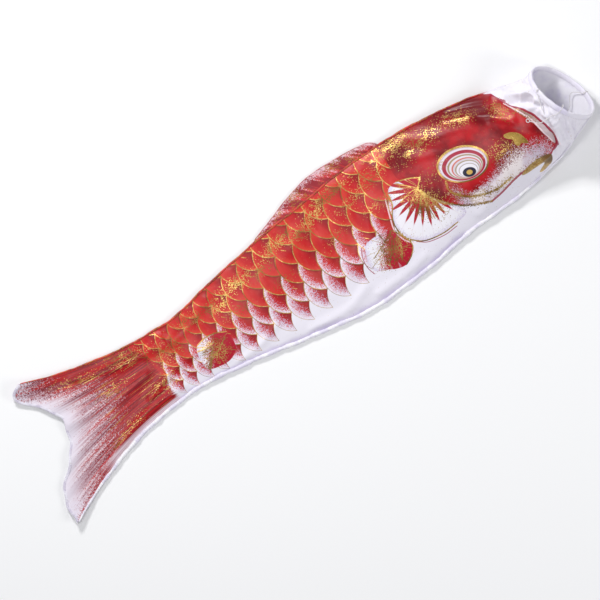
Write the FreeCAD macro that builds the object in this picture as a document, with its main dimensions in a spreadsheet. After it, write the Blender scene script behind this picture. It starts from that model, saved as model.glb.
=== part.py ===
"""Carp streamer: a sewn satin windsock with a wire mouth hoop, a cord bridle, a dorsal fin and a forked tail.

The streamer lies on its far side. Tail to mouth runs along +X, belly to back along +Y, and +Z is up.
The origin is the centre of the bottom of its bounding box. Lengths are millimetres, angles are degrees.
"""

import FreeCAD, Part
import math
import os

import Sketcher

Vector = FreeCAD.Vector

# ----------------------------------------------------------------------------------------------
# Driving dimensions, which go into the document's sheet under these names
# ----------------------------------------------------------------------------------------------

SIZES = {
    # Body cloth: two panels sewn together along the back and the belly
    "panel_wall": 1.2,
    "panel_lap": 3.0,
    "panel_gap": 0.1,
    "back_seam_width": 3.2,
    "back_seam_thick": 2.2,
    "belly_roll_radius": 2.6,
    # Mouth: the middle of the hoop, and how its plane is turned and leaned back
    "hoop_x": 464.95,
    "hoop_y": -0.9,
    "hoop_z": 53.3,
    "hoop_yaw": 20.2,
    "hoop_lean": 62.8,
    "hoop_radius": 54.4,
    "hoop_wire_radius": 1.1,
    "hoop_wire_sweep": 350.0,
    "hoop_sleeve_radius": 1.6,
    "hoop_sleeve_bore": 1.15,
    "hoop_sleeve_sweep": 20.0,
    "hem_outer_radius": 56.4,
    "hem_inner_radius": 52.4,
    "hem_front": 2.2,
    "hem_back": 6.6,
    "hem_channel_radius": 1.75,
    "throat_wall": 1.2,
    "throat_gap": 0.6,
    "throat_inset": 0.2,
    "rim_split_angle": 0.5,
    # Stitches that close the hem
    "stitch_count": 72,
    "stitch_length": 3.2,
    "stitch_thick": 0.5,
    "stitch_lift": 0.3,
    "stitch_back": 5.4,
    # Bridle ties: a loop of cord through a hole in the hem, ending in a knot
    "cord_radius": 0.6,
    "tie_hole_radius": 0.8,
    "tie_hole_back": 3.6,
    "tie_slack": 0.3,
    "tie_bend": 1.5,
    "tie_knot_radius": 1.5,
    "tie_angle": 56.0,
    "bridle_knot_radius": 1.9,
    "end_loop_radius": 2.6,
    # Tail: two flat panels with hems along the fork
    "tail_wall": 1.0,
    "tail_near_z": 4.4,
    "tail_seam_width": 2.4,
    "tail_seam_gap": 0.1,
    "fork_hem_width": 4.0,
    "fork_hem_thick": 0.5,
    # Strips of cloth over the joint at the tail root
    "strip_gap": 0.4,
    # Dorsal fin: two layers and a rolled edge
    "fin_z": 2.2,
    "fin_layer": 0.6,
    "fin_layer_gap": 0.05,
    "fin_edge_width": 1.8,
    "fin_edge_thick": 2.0,
    "fin_head_share": 1.3,
}

# Stations of the trunk from the lips to the tail root:
# place along X, belly seam Y, back seam Y, seam Z, top Z, and the flat underside's distance inside the seams
STATIONS = {
    "lip": (398.0, -80.5, 56.5, 22.0, 70.0, 30.0),
    "cheek": (345.0, -88.5, 71.0, 13.0, 52.0, 26.0),
    "gill": (240.0, -91.5, 88.0, 7.0, 29.0, 20.0),
    "shoulder": (135.0, -102.0, 91.0, 4.5, 17.0, 14.0),
    "breast": (50.0, -102.5, 84.5, 4.0, 13.0, 12.0),
    "flank": (-60.0, -82.0, 75.5, 4.0, 11.0, 10.0),
    "waist": (-150.0, -62.5, 63.5, 4.0, 9.5, 10.0),
    "rump": (-217.0, -51.5, 54.5, 4.0, 8.5, 10.0),
    "tail": (-234.0, -50.5, 55.5, 3.0, 5.4, 8.0),
}
STATION_FIELDS = ("x", "belly", "back", "seam", "top", "slant")
TRUNK = ("lip", "cheek", "gill", "shoulder", "breast", "flank", "waist", "rump")

# Corners of outlines seen from above
CORNERS = {
    # Tail, along the back edge, round the fork and along the belly edge
    "back_root": (-234.0, 55.5),
    "back_bow": (-345.0, 71.5),
    "upper_edge": (-452.0, 107.5),
    "upper_tip": (-467.5, 104.0),
    "upper_fork": (-447.0, 62.0),
    "fork_pit": (-430.0, 28.0),
    "lower_bow": (-438.0, -8.0),
    "lower_fork": (-456.0, -31.0),
    "lower_bend": (-483.0, -57.0),
    "lower_inner": (-498.5, -90.0),
    "lower_tip": (-499.0, -114.2),
    "belly_bow": (-366.0, -64.0),
    "belly_root": (-234.0, -51.0),
    # Dorsal fin, from its tail end over the crest to its head end, then back along the base
    "fin_tail": (-40.0, 81.0),
    "fin_rise": (-4.0, 92.0),
    "fin_slope": (36.0, 104.5),
    "fin_peak": (80.0, 113.3),
    "fin_crest": (130.0, 111.8),
    "fin_brow": (174.0, 106.5),
    "fin_nose": (188.0, 101.0),
    "fin_head": (195.0, 94.6),
    "fin_base": (120.0, 94.2),
}

# Route of the bridle's long cord: from the far tie, over the mouth's floor, up under the rim, over it
# and down the throat to its small end loop
LINE_ROUTE = (
    (490.2, -20.3, 14.6),
    (484.2, -13.2, 9.6),
    (477.0, -8.8, 7.2),
    (470.6, -14.6, 6.4),
    (465.6, -24.4, 6.8),
    (457.6, -29.0, 10.8),
    (452.4, -27.0, 23.0),
    (450.6, -24.0, 46.0),
    (450.3, -21.4, 70.0),
    (449.9, -20.2, 86.0),
    (449.2, -18.6, 95.4),
    (453.2, -17.2, 100.6),
    (450.8, -20.1, 107.2),
    (444.8, -22.6, 105.6),
    (436.8, -24.4, 102.0),
    (428.6, -21.0, 97.2),
    (418.6, -21.6, 90.8),
    (409.0, -20.6, 84.6),
    (403.4, -14.8, 81.0),
    (398.6, -9.0, 78.4),
)
# Route of the bridle's short leg: from the near tie down the throat to the knot
LEG_ROUTE = (
    (430.6, 17.4, 98.2),
    (427.8, 10.2, 98.6),
    (425.2, 1.6, 97.6),
    (423.4, -7.0, 95.8),
    (421.8, -14.6, 94.0),
    (421.2, -19.8, 92.4),
)
KNOT_PLACE = (420.6, -21.5, 92.0)
END_LOOP_PLACE = (397.0, -7.1, 77.6)
END_LOOP_LEAN = -30.0
ARC_SHARE = 0.45

# ----------------------------------------------------------------------------------------------
# Document and sheet
# ----------------------------------------------------------------------------------------------

doc = FreeCAD.newDocument("carp_streamer")
sheet = doc.addObject("Spreadsheet::Sheet", "sizes")


def fill_sheet():
    """Put every driving dimension in the sheet as a plain number with its name as the alias."""
    cells = dict(SIZES)
    for name, values in STATIONS.items():
        for field, value in zip(STATION_FIELDS, values):
            cells[f"{name}_{field}"] = value
    for name, (x, y) in CORNERS.items():
        cells[f"{name}_x"] = x
        cells[f"{name}_y"] = y
    for row, (name, value) in enumerate(cells.items(), start=1):
        sheet.set(f"A{row}", name)
        sheet.set(f"B{row}", str(value))
        sheet.setAlias(f"B{row}", name)
    doc.recompute()


def size(name):
    """The sheet's number of this name."""
    return float(sheet.get(name))


def named(text):
    """An expression in the sheet's names: each @name becomes the cell of that name."""
    return text.replace("@", "sizes.")


# ----------------------------------------------------------------------------------------------
# Sketches
# ----------------------------------------------------------------------------------------------


def new_body(label):
    body = doc.addObject("PartDesign::Body", label)
    body.Label = label
    return body


def new_sketch(body, name, role, offset="0"):
    """A sketch on the body's origin plane of this role, moved along the plane's normal by an expression."""
    sketch = body.newObject("Sketcher::SketchObject", f"{body.Name}_{name}")
    plane = next(p for p in body.Origin.OriginFeatures if p.Role == role)
    sketch.AttachmentSupport = [(plane, "")]
    sketch.MapMode = "FlatFace"
    sketch.setExpression("AttachmentOffset.Base.z", named(offset))
    return sketch


def value_of(sketch, text):
    return float(sketch.evalExpression(named(text)))


def pin_point(sketch, geometry, position, corner):
    """Hold a point of a sketch at a corner given as two expressions."""
    for kind, text in zip(("DistanceX", "DistanceY"), corner):
        constraint = Sketcher.Constraint(kind, -1, 1, geometry, position, value_of(sketch, text))
        index = sketch.addConstraint(constraint)
        sketch.setExpression(f"Constraints[{index}]", named(text))


def turns_left(a, b, c):
    return (b.x - a.x) * (c.y - a.y) - (b.y - a.y) * (c.x - a.x) > 0


def trace(sketch, start, steps):
    """Draw a closed outline.

    Each step is (corner,) for a straight edge to that corner, or (middle, corner) for an arc through
    the middle. A corner is a pair of expressions. The last step comes back to the start.
    """
    ends = []
    here = start
    for step in steps:
        a = Vector(value_of(sketch, here[0]), value_of(sketch, here[1]), 0)
        b = Vector(value_of(sketch, step[-1][0]), value_of(sketch, step[-1][1]), 0)
        first, last = 1, 2
        if len(step) == 1:
            edge = sketch.addGeometry(Part.LineSegment(a, b))
        else:
            middle = Vector(value_of(sketch, step[0][0]), value_of(sketch, step[0][1]), 0)
            if not turns_left(a, middle, b):
                a, b = b, a
                first, last = 2, 1
            edge = sketch.addGeometry(Part.Arc(a, middle, b))
            mark = sketch.addGeometry(Part.Point(middle), True)
            pin_point(sketch, mark, 1, step[0])
            sketch.addConstraint(Sketcher.Constraint("PointOnObject", mark, 1, edge))
        pin_point(sketch, edge, first, here)
        ends.append((edge, first, last))
        here = step[-1]
    for (edge, _, last), (following, first, _) in zip(ends, ends[1:] + ends[:1]):
        sketch.addConstraint(Sketcher.Constraint("Coincident", edge, last, following, first))


def circle(sketch, centre, radius):
    """A circle whose centre is a pair of expressions and whose radius is an expression."""
    middle = Vector(value_of(sketch, centre[0]), value_of(sketch, centre[1]), 0)
    edge = sketch.addGeometry(Part.Circle(middle, Vector(0, 0, 1), value_of(sketch, radius)))
    pin_point(sketch, edge, 3, centre)
    index = sketch.addConstraint(Sketcher.Constraint("Radius", edge, value_of(sketch, radius)))
    sketch.setExpression(f"Constraints[{index}]", named(radius))


def top_view(name, dx="0", dy="0"):
    """A named corner of the outlines seen from above, moved by two expressions."""
    return (f"@{name}_x + {dx}", f"@{name}_y + {dy}")


# ----------------------------------------------------------------------------------------------
# Features
# ----------------------------------------------------------------------------------------------


def loft(body, sketches, ruled=False):
    feature = body.newObject("PartDesign::AdditiveLoft", f"{body.Name}_loft")
    feature.Profile = sketches[0]
    feature.Sections = sketches[1:]
    feature.Ruled = ruled
    doc.recompute()
    return feature


def pad(body, sketch, thickness):
    feature = body.newObject("PartDesign::Pad", f"{body.Name}_pad")
    feature.Profile = sketch
    feature.setExpression("Length", named(thickness))
    doc.recompute()
    return feature


def revolve(body, sketch, sweep="360"):
    """Turn a sketch drawn on the XZ plane about the body's Z axis."""
    feature = body.newObject("PartDesign::Revolution", f"{body.Name}_revolution")
    feature.Profile = sketch
    feature.ReferenceAxis = (sketch, ["V_Axis"])
    feature.setExpression("Angle", named(sweep))
    doc.recompute()
    return feature


def turn_round_hoop(sketch, angle):
    """Turn an upright sketch about the body's Z axis, which is the hoop's own axis."""
    sketch.setExpression("AttachmentOffset.Rotation.Pitch", named(angle))


def lean_with_hoop(item):
    """Stand an item that is built flat round the Z axis in the plane of the hoop."""
    item.setExpression("Placement.Base.x", named("@hoop_x"))
    item.setExpression("Placement.Base.y", named("@hoop_y"))
    item.setExpression("Placement.Base.z", named("@hoop_z"))
    item.setExpression("Placement.Rotation.Yaw", named("@hoop_yaw + 90"))
    item.setExpression("Placement.Rotation.Roll", named("@hoop_lean"))


# ----------------------------------------------------------------------------------------------
# Body panels
# ----------------------------------------------------------------------------------------------


def near_section(body, station, offset="0"):
    """The upper panel's crescent at a station."""
    sketch = new_sketch(body, station, "YZ_Plane", f"@{station}_x + {offset}")
    belly, back = f"@{station}_belly", f"@{station}_back"
    seam, top = f"@{station}_seam + @panel_gap", f"@{station}_top"
    middle = f"({belly} + {back}) / 2"
    trace(
        sketch,
        (back, seam),
        (
            ((middle, top), (belly, seam)),
            ((f"{belly} + @panel_lap", seam),),
            ((middle, f"{top} - @panel_wall"), (f"{back} - @panel_lap", seam)),
            ((back, seam),),
        ),
    )
    return sketch


def far_section(body, station, offset="0"):
    """The lower panel's flat-bottomed trough at a station."""
    sketch = new_sketch(body, station, "YZ_Plane", f"@{station}_x + {offset}")
    belly, back = f"@{station}_belly", f"@{station}_back"
    seam, slant = f"@{station}_seam", f"@{station}_slant"
    inset = f"{slant} + @panel_lap / 2"
    trace(
        sketch,
        (back, seam),
        (
            ((f"{back} - {slant}", "0"),),
            ((f"{belly} + {slant}", "0"),),
            ((belly, seam),),
            ((f"{belly} + @panel_lap", seam),),
            ((f"{belly} + {inset}", "@panel_wall"),),
            ((f"{back} - ({inset})", "@panel_wall"),),
            ((f"{back} - @panel_lap", seam),),
            ((back, seam),),
        ),
    )
    return sketch


def side_panels():
    near = new_body("near_side_panel")
    loft(near, [near_section(near, station) for station in TRUNK], ruled=True)
    far = new_body("far_side_panel")
    loft(far, [far_section(far, station) for station in TRUNK], ruled=True)


def root_strips():
    """The cloth over the tail's joint, between the trunk's last station and the tail's first."""
    near = new_body("near_root_strip")
    ends = (("rump", "0 - @strip_gap"), ("tail", "@strip_gap"))
    loft(near, [near_section(near, station, offset) for station, offset in ends])
    far = new_body("far_root_strip")
    loft(far, [far_section(far, station, offset) for station, offset in ends], ruled=True)


def back_seam():
    body = new_body("back_seam")
    sections = []
    for station in TRUNK:
        sketch = new_sketch(body, station, "YZ_Plane", f"@{station}_x")
        inner = f"@{station}_back + @panel_gap"
        outer = f"@{station}_back + @back_seam_width"
        low = f"@{station}_seam - @back_seam_thick / 2"
        high = f"@{station}_seam + @back_seam_thick / 2"
        trace(sketch, (outer, low), (((outer, high),), ((inner, high),), ((inner, low),), ((outer, low),)))
        sections.append(sketch)
    loft(body, sections, ruled=True)


def belly_seam():
    body = new_body("belly_seam")
    sections = []
    for station in TRUNK:
        sketch = new_sketch(body, station, "YZ_Plane", f"@{station}_x")
        centre = (f"@{station}_belly - @belly_roll_radius - @panel_gap", f"@{station}_seam")
        circle(sketch, centre, "@belly_roll_radius")
        sections.append(sketch)
    loft(body, sections, ruled=True)


# ----------------------------------------------------------------------------------------------
# Throat and mouth
# ----------------------------------------------------------------------------------------------


def rim_sketch(body, name):
    """A sketch in the plane just behind the hem, on the hoop's axis; its X points to the back seam."""
    sketch = new_sketch(body, name, "XY_Plane")
    reach = "(@hem_back + @throat_gap)"
    level = f"{reach} * sin(@hoop_lean * 1 deg)"
    place = {
        "x": f"@hoop_x - {level} * cos(@hoop_yaw * 1 deg)",
        "y": f"@hoop_y - {level} * sin(@hoop_yaw * 1 deg)",
        "z": f"@hoop_z - {reach} * cos(@hoop_lean * 1 deg)",
    }
    for axis, text in place.items():
        sketch.setExpression(f"AttachmentOffset.Base.{axis}", named(text))
    sketch.setExpression("AttachmentOffset.Rotation.Yaw", named("@hoop_yaw + 90"))
    sketch.setExpression("AttachmentOffset.Rotation.Roll", named("@hoop_lean"))
    return sketch


def rim_corner(angle, radius):
    return (f"({radius}) * cos({angle} * 1 deg)", f"({radius}) * sin({angle} * 1 deg)")


def throat_panels():
    """The white cloth between the lips and the hem; the near half stops just short of the far one."""
    outer = "@hem_outer_radius - @throat_inset"
    inner = "@hem_outer_radius - @throat_inset - @throat_wall"
    first = "@rim_split_angle"
    last = "(180 - @rim_split_angle)"
    near = new_body("near_throat_panel")
    rim = rim_sketch(near, "rim")
    trace(
        rim,
        rim_corner(first, outer),
        (
            (rim_corner(90, outer), rim_corner(last, outer)),
            (rim_corner(last, inner),),
            (rim_corner(90, inner), rim_corner(first, inner)),
            (rim_corner(first, outer),),
        ),
    )
    loft(near, [near_section(near, "lip", "@panel_gap"), rim], ruled=True)
    far = new_body("far_throat_panel")
    rim = rim_sketch(far, "rim")
    trace(
        rim,
        rim_corner(0, outer),
        (
            (rim_corner(-30, outer), rim_corner(-60, outer)),
            (rim_corner(-90, outer), rim_corner(-120, outer)),
            (rim_corner(-150, outer), rim_corner(180, outer)),
            (rim_corner(180, inner),),
            (rim_corner(-150, inner), rim_corner(-120, inner)),
            (rim_corner(-90, inner), rim_corner(-60, inner)),
            (rim_corner(-30, inner), rim_corner(0, inner)),
            (rim_corner(0, outer),),
        ),
    )
    loft(far, [far_section(far, "lip", "@panel_gap"), rim], ruled=True)


def mouth_hem():
    """The folded hem round the hoop: a ring with rounded front, the hoop's channel and two tie holes."""
    body = new_body("mouth_hem")
    sketch = new_sketch(body, "wall", "XZ_Plane")
    outer, inner, front, back = "@hem_outer_radius", "@hem_inner_radius", "@hem_front", "0 - @hem_back"
    middle = "(@hem_outer_radius + @hem_inner_radius) / 2"
    shoulder = "@hem_front - (@hem_outer_radius - @hem_inner_radius) / 2"
    trace(
        sketch,
        (outer, back),
        (
            ((outer, shoulder),),
            ((middle, front), (inner, shoulder)),
            ((inner, back),),
            ((outer, back),),
        ),
    )
    wall = revolve(body, sketch)
    volume = wall.Shape.Volume
    channel = new_sketch(body, "channel", "XZ_Plane")
    circle(channel, ("@hoop_radius", "0"), "@hem_channel_radius")
    groove = body.newObject("PartDesign::Groove", "mouth_hem_groove")
    groove.Profile = channel
    groove.ReferenceAxis = (channel, ["V_Axis"])
    doc.recompute()
    if groove.Shape.Volume >= volume:
        raise RuntimeError("the hoop's channel cuts nothing")
    volume = groove.Shape.Volume
    holes = new_sketch(body, "holes", "YZ_Plane")
    turn_round_hoop(holes, "@tie_angle")
    circle(holes, ("0", "0 - @tie_hole_back"), "@tie_hole_radius")
    pocket = body.newObject("PartDesign::Pocket", "mouth_hem_holes")
    pocket.Profile = holes
    pocket.Type = "ThroughAll"
    pocket.Midplane = True
    doc.recompute()
    if pocket.Shape.Volume >= volume:
        raise RuntimeError("the tie holes cut nothing")
    lean_with_hoop(body)


def hoop():
    """The wire hoop, open at one place, and the tube that joins its ends."""
    wire = doc.addObject("Part::Torus", "hoop_wire")
    wire.Label = "hoop_wire"
    wire.setExpression("Radius1", named("@hoop_radius"))
    wire.setExpression("Radius2", named("@hoop_wire_radius"))
    wire.setExpression("Angle3", named("@hoop_wire_sweep"))
    lean_with_hoop(wire)
    sleeve = new_body("hoop_sleeve")
    sketch = new_sketch(sleeve, "ring", "XZ_Plane")
    turn_round_hoop(sketch, "(@hoop_wire_sweep - 360) / 2")
    circle(sketch, ("@hoop_radius", "0"), "@hoop_sleeve_radius")
    circle(sketch, ("@hoop_radius", "0"), "@hoop_sleeve_bore")
    turn = revolve(sleeve, sketch, "@hoop_sleeve_sweep")
    turn.Midplane = True
    lean_with_hoop(sleeve)


def hem_stitches():
    """The row of stitches round the hem's back edge, one short thread each."""
    count = round(size("stitch_count"))
    radius = size("stitch_thick") / 2
    length = size("stitch_length")
    reach = size("hem_outer_radius") + size("stitch_lift")
    stitches = []
    for index in range(count):
        angle = 2 * math.pi * index / count
        outward = Vector(math.cos(angle), math.sin(angle), 0)
        forward = Vector(-math.sin(angle), math.cos(angle), 0)
        start = outward * reach - forward * (length / 2) - Vector(0, 0, size("stitch_back"))
        stitches.append(Part.makeCylinder(radius, length, start, forward))
    row = doc.addObject("Part::Feature", "hem_stitches")
    row.Label = "hem_stitches"
    row.Shape = Part.makeCompound(stitches)
    lean_with_hoop(row)


def hoop_tie(label, side):
    """A loop of cord through the hem's hole and round its front, with a knot.

    The near tie (side 1) stands at the tie angle with its knot outside the hem. The far tie (side -1)
    stands across the hoop from it with its knot inside.
    """
    body = new_body(label)
    outer = "(@hem_outer_radius + @tie_slack + @cord_radius)"
    inner = "(@hem_inner_radius - @tie_slack - @cord_radius)"
    front = "(@hem_front + @tie_slack + @cord_radius)"
    back = "(0 - @tie_hole_back)"
    bend = "@tie_bend"
    corner = "@tie_bend * (1 - cos(45 deg))"

    def at(reach, height):
        return (f"{side} * ({reach})", height)

    path = new_sketch(body, "path", "XZ_Plane")
    turn_round_hoop(path, "@tie_angle")
    start = at(outer, f"{back} + {bend}")
    trace(
        path,
        start,
        (
            (at(outer, f"{front} - {bend}"),),
            (at(f"{outer} - {corner}", f"{front} - {corner}"), at(f"{outer} - {bend}", front)),
            (at(f"{inner} + {bend}", front),),
            (at(f"{inner} + {corner}", f"{front} - {corner}"), at(inner, f"{front} - {bend}")),
            (at(inner, f"{back} + {bend}"),),
            (at(f"{inner} + {corner}", f"{back} + {corner}"), at(f"{inner} + {bend}", back)),
            (at(f"{outer} - {bend}", back),),
            (at(f"{outer} - {corner}", f"{back} + {corner}"), start),
        ),
    )
    section = new_sketch(body, "section", "XY_Plane")
    section.setExpression("AttachmentOffset.Rotation.Yaw", named("@tie_angle"))
    circle(section, at(outer, "0"), "@cord_radius")
    pipe = body.newObject("PartDesign::AdditivePipe", f"{label}_pipe")
    pipe.Profile = section
    pipe.Spine = (path, [f"Edge{edge}" for edge in range(1, 9)])
    doc.recompute()
    knot = body.newObject("PartDesign::AdditiveSphere", f"{label}_knot")
    knot.setExpression("Radius", named("@tie_knot_radius"))
    proud = "(@tie_knot_radius - @cord_radius)"
    stand = f"({outer} + {proud})" if side > 0 else f"({inner} - {proud})"
    knot.setExpression("Placement.Base.x", named(f"{side} * {stand} * cos(@tie_angle * 1 deg)"))
    knot.setExpression("Placement.Base.y", named(f"{side} * {stand} * sin(@tie_angle * 1 deg)"))
    doc.recompute()
    lean_with_hoop(body)


# ----------------------------------------------------------------------------------------------
# Tail
# ----------------------------------------------------------------------------------------------


def fork_edge(dx="0"):
    """The fork's steps from the upper tip to the lower inner corner."""
    return (
        (top_view("upper_fork", dx), top_view("fork_pit", dx)),
        (top_view("lower_bow", dx), top_view("lower_fork", dx)),
        (top_view("lower_bend", dx), top_view("lower_inner", dx)),
    )


def tail_panel(label, low):
    """One flat layer of the tail, inside the seams along its back and belly edges."""
    body = new_body(label)
    sketch = new_sketch(body, "outline", "XY_Plane", low)
    inset = "(@tail_seam_width + @tail_seam_gap)"
    start = top_view("back_root", "0", f"0 - {inset}")
    steps = (
        (top_view("back_bow", "0", f"0 - {inset}"), top_view("upper_edge", "0", f"0 - {inset}")),
        (top_view("upper_tip", "0", f"0 - {inset}"),),
        *fork_edge(),
        (top_view("lower_tip", "0", inset),),
        (top_view("belly_bow", "0", inset), top_view("belly_root", "0", inset)),
        (start,),
    )
    trace(sketch, start, steps)
    pad(body, sketch, "@tail_wall")


def tail_seam(label, root, bow, end, inward):
    """The seam that closes the tail's layers along one edge; inward is the sign of Y to the middle."""
    body = new_body(label)
    low = "@fork_hem_thick / 2"
    sketch = new_sketch(body, "outline", "XY_Plane", low)
    width = f"{inward} * @tail_seam_width"
    start = top_view(root)
    steps = (
        (top_view(bow), top_view(end)),
        (top_view(end, "0", width),),
        (top_view(bow, "0", width), top_view(root, "0", width)),
        (start,),
    )
    trace(sketch, start, steps)
    pad(body, sketch, f"@tail_near_z + @tail_wall - 2 * {low}")


def fork_hem(label, low):
    """The turned hem along the fork, on the face of one layer."""
    body = new_body(label)
    sketch = new_sketch(body, "outline", "XY_Plane", low)
    width = "@fork_hem_width"
    start = top_view("upper_tip", "0", "0 - 2 * @fork_hem_width")
    steps = (
        *fork_edge(),
        (top_view("lower_inner", width),),
        (top_view("lower_bend", width), top_view("lower_fork", width)),
        (top_view("lower_bow", width), top_view("fork_pit", width)),
        (top_view("upper_fork", width), top_view("upper_tip", width, "0 - 2 * @fork_hem_width")),
        (start,),
    )
    trace(sketch, start, steps)
    pad(body, sketch, "@fork_hem_thick")


def tail():
    tail_panel("far_tail_panel", "0")
    tail_panel("near_tail_panel", "@tail_near_z")
    tail_seam("tail_back_seam", "back_root", "back_bow", "upper_edge", -1)
    tail_seam("tail_belly_seam", "belly_root", "belly_bow", "lower_tip", 1)
    fork_hem("far_fork_hem", "@tail_wall")
    fork_hem("near_fork_hem", "@tail_near_z + @tail_wall")


# ----------------------------------------------------------------------------------------------
# Dorsal fin
# ----------------------------------------------------------------------------------------------


def fin_crown(inset):
    """The fin's top outline from its tail end to its head end, moved inwards: its start and its steps."""
    down = f"0 - {inset}"
    start = top_view("fin_tail", "0", f"@fin_edge_width - {inset}")
    steps = (
        (top_view("fin_rise", "0", down), top_view("fin_slope", "0", down)),
        (top_view("fin_peak", "0", down), top_view("fin_crest", "0", down)),
        (top_view("fin_brow", "0", down), top_view("fin_nose", down, down)),
        (top_view("fin_head", f"0 - @fin_head_share * {inset}"),),
    )
    return start, steps


def fin_layer(label, low):
    body = new_body(label)
    sketch = new_sketch(body, "outline", "XY_Plane", low)
    start, steps = fin_crown("(@fin_edge_width + @fin_layer_gap)")
    trace(sketch, start, (*steps, (top_view("fin_base"), start)))
    pad(body, sketch, "@fin_layer")


def fin_edge():
    """The rolled and stitched edge round the top of both layers."""
    body = new_body("fin_edge")
    low = "@fin_z + @fin_layer + (@fin_layer_gap - @fin_edge_thick) / 2"
    sketch = new_sketch(body, "outline", "XY_Plane", low)
    start, steps = fin_crown("0")
    inner_start, inner_steps = fin_crown("@fin_edge_width")
    (rise, slope), (peak, crest), (brow, nose), (head,) = inner_steps
    back = ((head,), (nose,), (brow, crest), (peak, slope), (rise, inner_start), (start,))
    trace(sketch, start, (*steps, *back))
    pad(body, sketch, "@fin_edge_thick")


def dorsal_fin():
    fin_layer("far_fin_layer", "@fin_z")
    fin_layer("near_fin_layer", "@fin_z + @fin_layer + @fin_layer_gap")
    fin_edge()


# ----------------------------------------------------------------------------------------------
# Bridle
# ----------------------------------------------------------------------------------------------


def rounded_path(label, route):
    """Straight runs joined by tangent arcs, as edges; every arc's radius is printed."""
    points = [Vector(*place) for place in route]
    edges = []
    here = points[0]
    radii = []
    for before, corner, after in zip(points, points[1:], points[2:]):
        arriving = (corner - before).normalize()
        leaving = (after - corner).normalize()
        turn = arriving.getAngle(leaving)
        reach = ARC_SHARE * min((corner - before).Length, (after - corner).Length)
        radius = reach / math.tan(turn / 2)
        radii.append(round(radius, 1))
        start = corner - arriving * reach
        end = corner + leaving * reach
        inward = (leaving - arriving).normalize()
        middle = corner + inward * (radius / math.cos(turn / 2) - radius)
        edges.append(Part.LineSegment(here, start).toShape())
        edges.append(Part.Arc(start, middle, end).toShape())
        here = end
    edges.append(Part.LineSegment(here, points[-1]).toShape())
    print(label, "arc radii", radii)
    return Part.Wire(edges)


def cord(label, route):
    """A plain tube of cord along a route."""
    radius = size("cord_radius")
    path = rounded_path(label, route)
    start = Vector(*route[0])
    disc = Part.Face(Part.Wire(Part.Circle(start, Vector(*route[1]) - start, radius).toShape()))
    tube = path.makePipe(disc)
    expected = math.pi * radius**2 * path.Length
    print(label, "length", round(path.Length, 1), "volume share", round(tube.Volume / expected, 4))
    if abs(tube.Volume / expected - 1) > 0.01:
        raise RuntimeError(f"{label} is not a sound tube")
    piece = doc.addObject("Part::Feature", label)
    piece.Label = label
    piece.Shape = tube


def bridle():
    cord("bridle_line", LINE_ROUTE)
    cord("bridle_leg", LEG_ROUTE)
    knot = doc.addObject("Part::Sphere", "bridle_knot")
    knot.Label = "bridle_knot"
    knot.setExpression("Radius", named("@bridle_knot_radius"))
    knot.Placement.Base = Vector(*KNOT_PLACE)
    loop = doc.addObject("Part::Torus", "bridle_end_loop")
    loop.Label = "bridle_end_loop"
    loop.setExpression("Radius1", named("@end_loop_radius"))
    loop.setExpression("Radius2", named("@cord_radius"))
    lean = FreeCAD.Rotation(Vector(0, 1, 0), END_LOOP_LEAN)
    loop.Placement = FreeCAD.Placement(Vector(*END_LOOP_PLACE), lean)


# ----------------------------------------------------------------------------------------------
# Check and write
# ----------------------------------------------------------------------------------------------

PIECE_TYPES = ("PartDesign::Body", "Part::Torus", "Part::Sphere", "Part::Feature")


def build_pieces():
    fill_sheet()
    side_panels()
    root_strips()
    back_seam()
    belly_seam()
    throat_panels()
    mouth_hem()
    hoop()
    hem_stitches()
    hoop_tie("near_hoop_tie", 1)
    hoop_tie("far_hoop_tie", -1)
    tail()
    dorsal_fin()
    bridle()
    doc.recompute()


def check_document():
    """Stop if any object failed to compute."""
    failed = [item.Name for item in doc.Objects if {"Invalid", "Error"} & set(item.State)]
    if failed:
        raise RuntimeError(f"these objects failed: {failed}")


def write_pieces():
    """Write each sub-part to a STEP file named after its label."""
    pieces = [item for item in doc.Objects if item.TypeId in PIECE_TYPES]
    for piece in pieces:
        if piece.Shape.isNull() or not piece.Shape.isValid():
            raise RuntimeError(f"{piece.Label} has no sound shape")
    os.makedirs("parts", exist_ok=True)
    for piece in pieces:
        piece.Shape.exportStep(f"parts/{piece.Label}.step")
        print(piece.Label, len(piece.Shape.Solids), "solid(s)", round(piece.Shape.Volume), "cubic mm")


build_pieces()
check_document()
write_pieces()
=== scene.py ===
import logging
import math
from dataclasses import dataclass
from enum import Enum
from functools import cached_property

import bpy
import numpy as np
from mathutils import Euler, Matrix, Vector


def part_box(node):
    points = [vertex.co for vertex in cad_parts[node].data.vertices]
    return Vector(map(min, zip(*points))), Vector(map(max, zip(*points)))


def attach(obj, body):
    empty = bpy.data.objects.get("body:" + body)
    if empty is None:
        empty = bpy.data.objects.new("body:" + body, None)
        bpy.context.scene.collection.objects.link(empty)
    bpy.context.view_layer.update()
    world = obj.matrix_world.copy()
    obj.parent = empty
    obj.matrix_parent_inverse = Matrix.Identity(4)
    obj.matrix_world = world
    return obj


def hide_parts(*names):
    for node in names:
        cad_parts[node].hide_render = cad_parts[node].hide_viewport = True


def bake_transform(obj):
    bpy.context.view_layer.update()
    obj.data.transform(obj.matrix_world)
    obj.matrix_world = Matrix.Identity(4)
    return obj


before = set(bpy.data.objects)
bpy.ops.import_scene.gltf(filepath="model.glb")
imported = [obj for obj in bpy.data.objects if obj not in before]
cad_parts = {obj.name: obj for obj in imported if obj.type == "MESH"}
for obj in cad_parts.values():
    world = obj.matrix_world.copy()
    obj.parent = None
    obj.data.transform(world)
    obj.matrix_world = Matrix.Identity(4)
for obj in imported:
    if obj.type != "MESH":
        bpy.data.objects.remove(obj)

LOG = logging.getLogger("carp_streamer")
MM = 0.001
CLOTH_THICKNESS = 0.00035
CELL = 0.002

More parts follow.
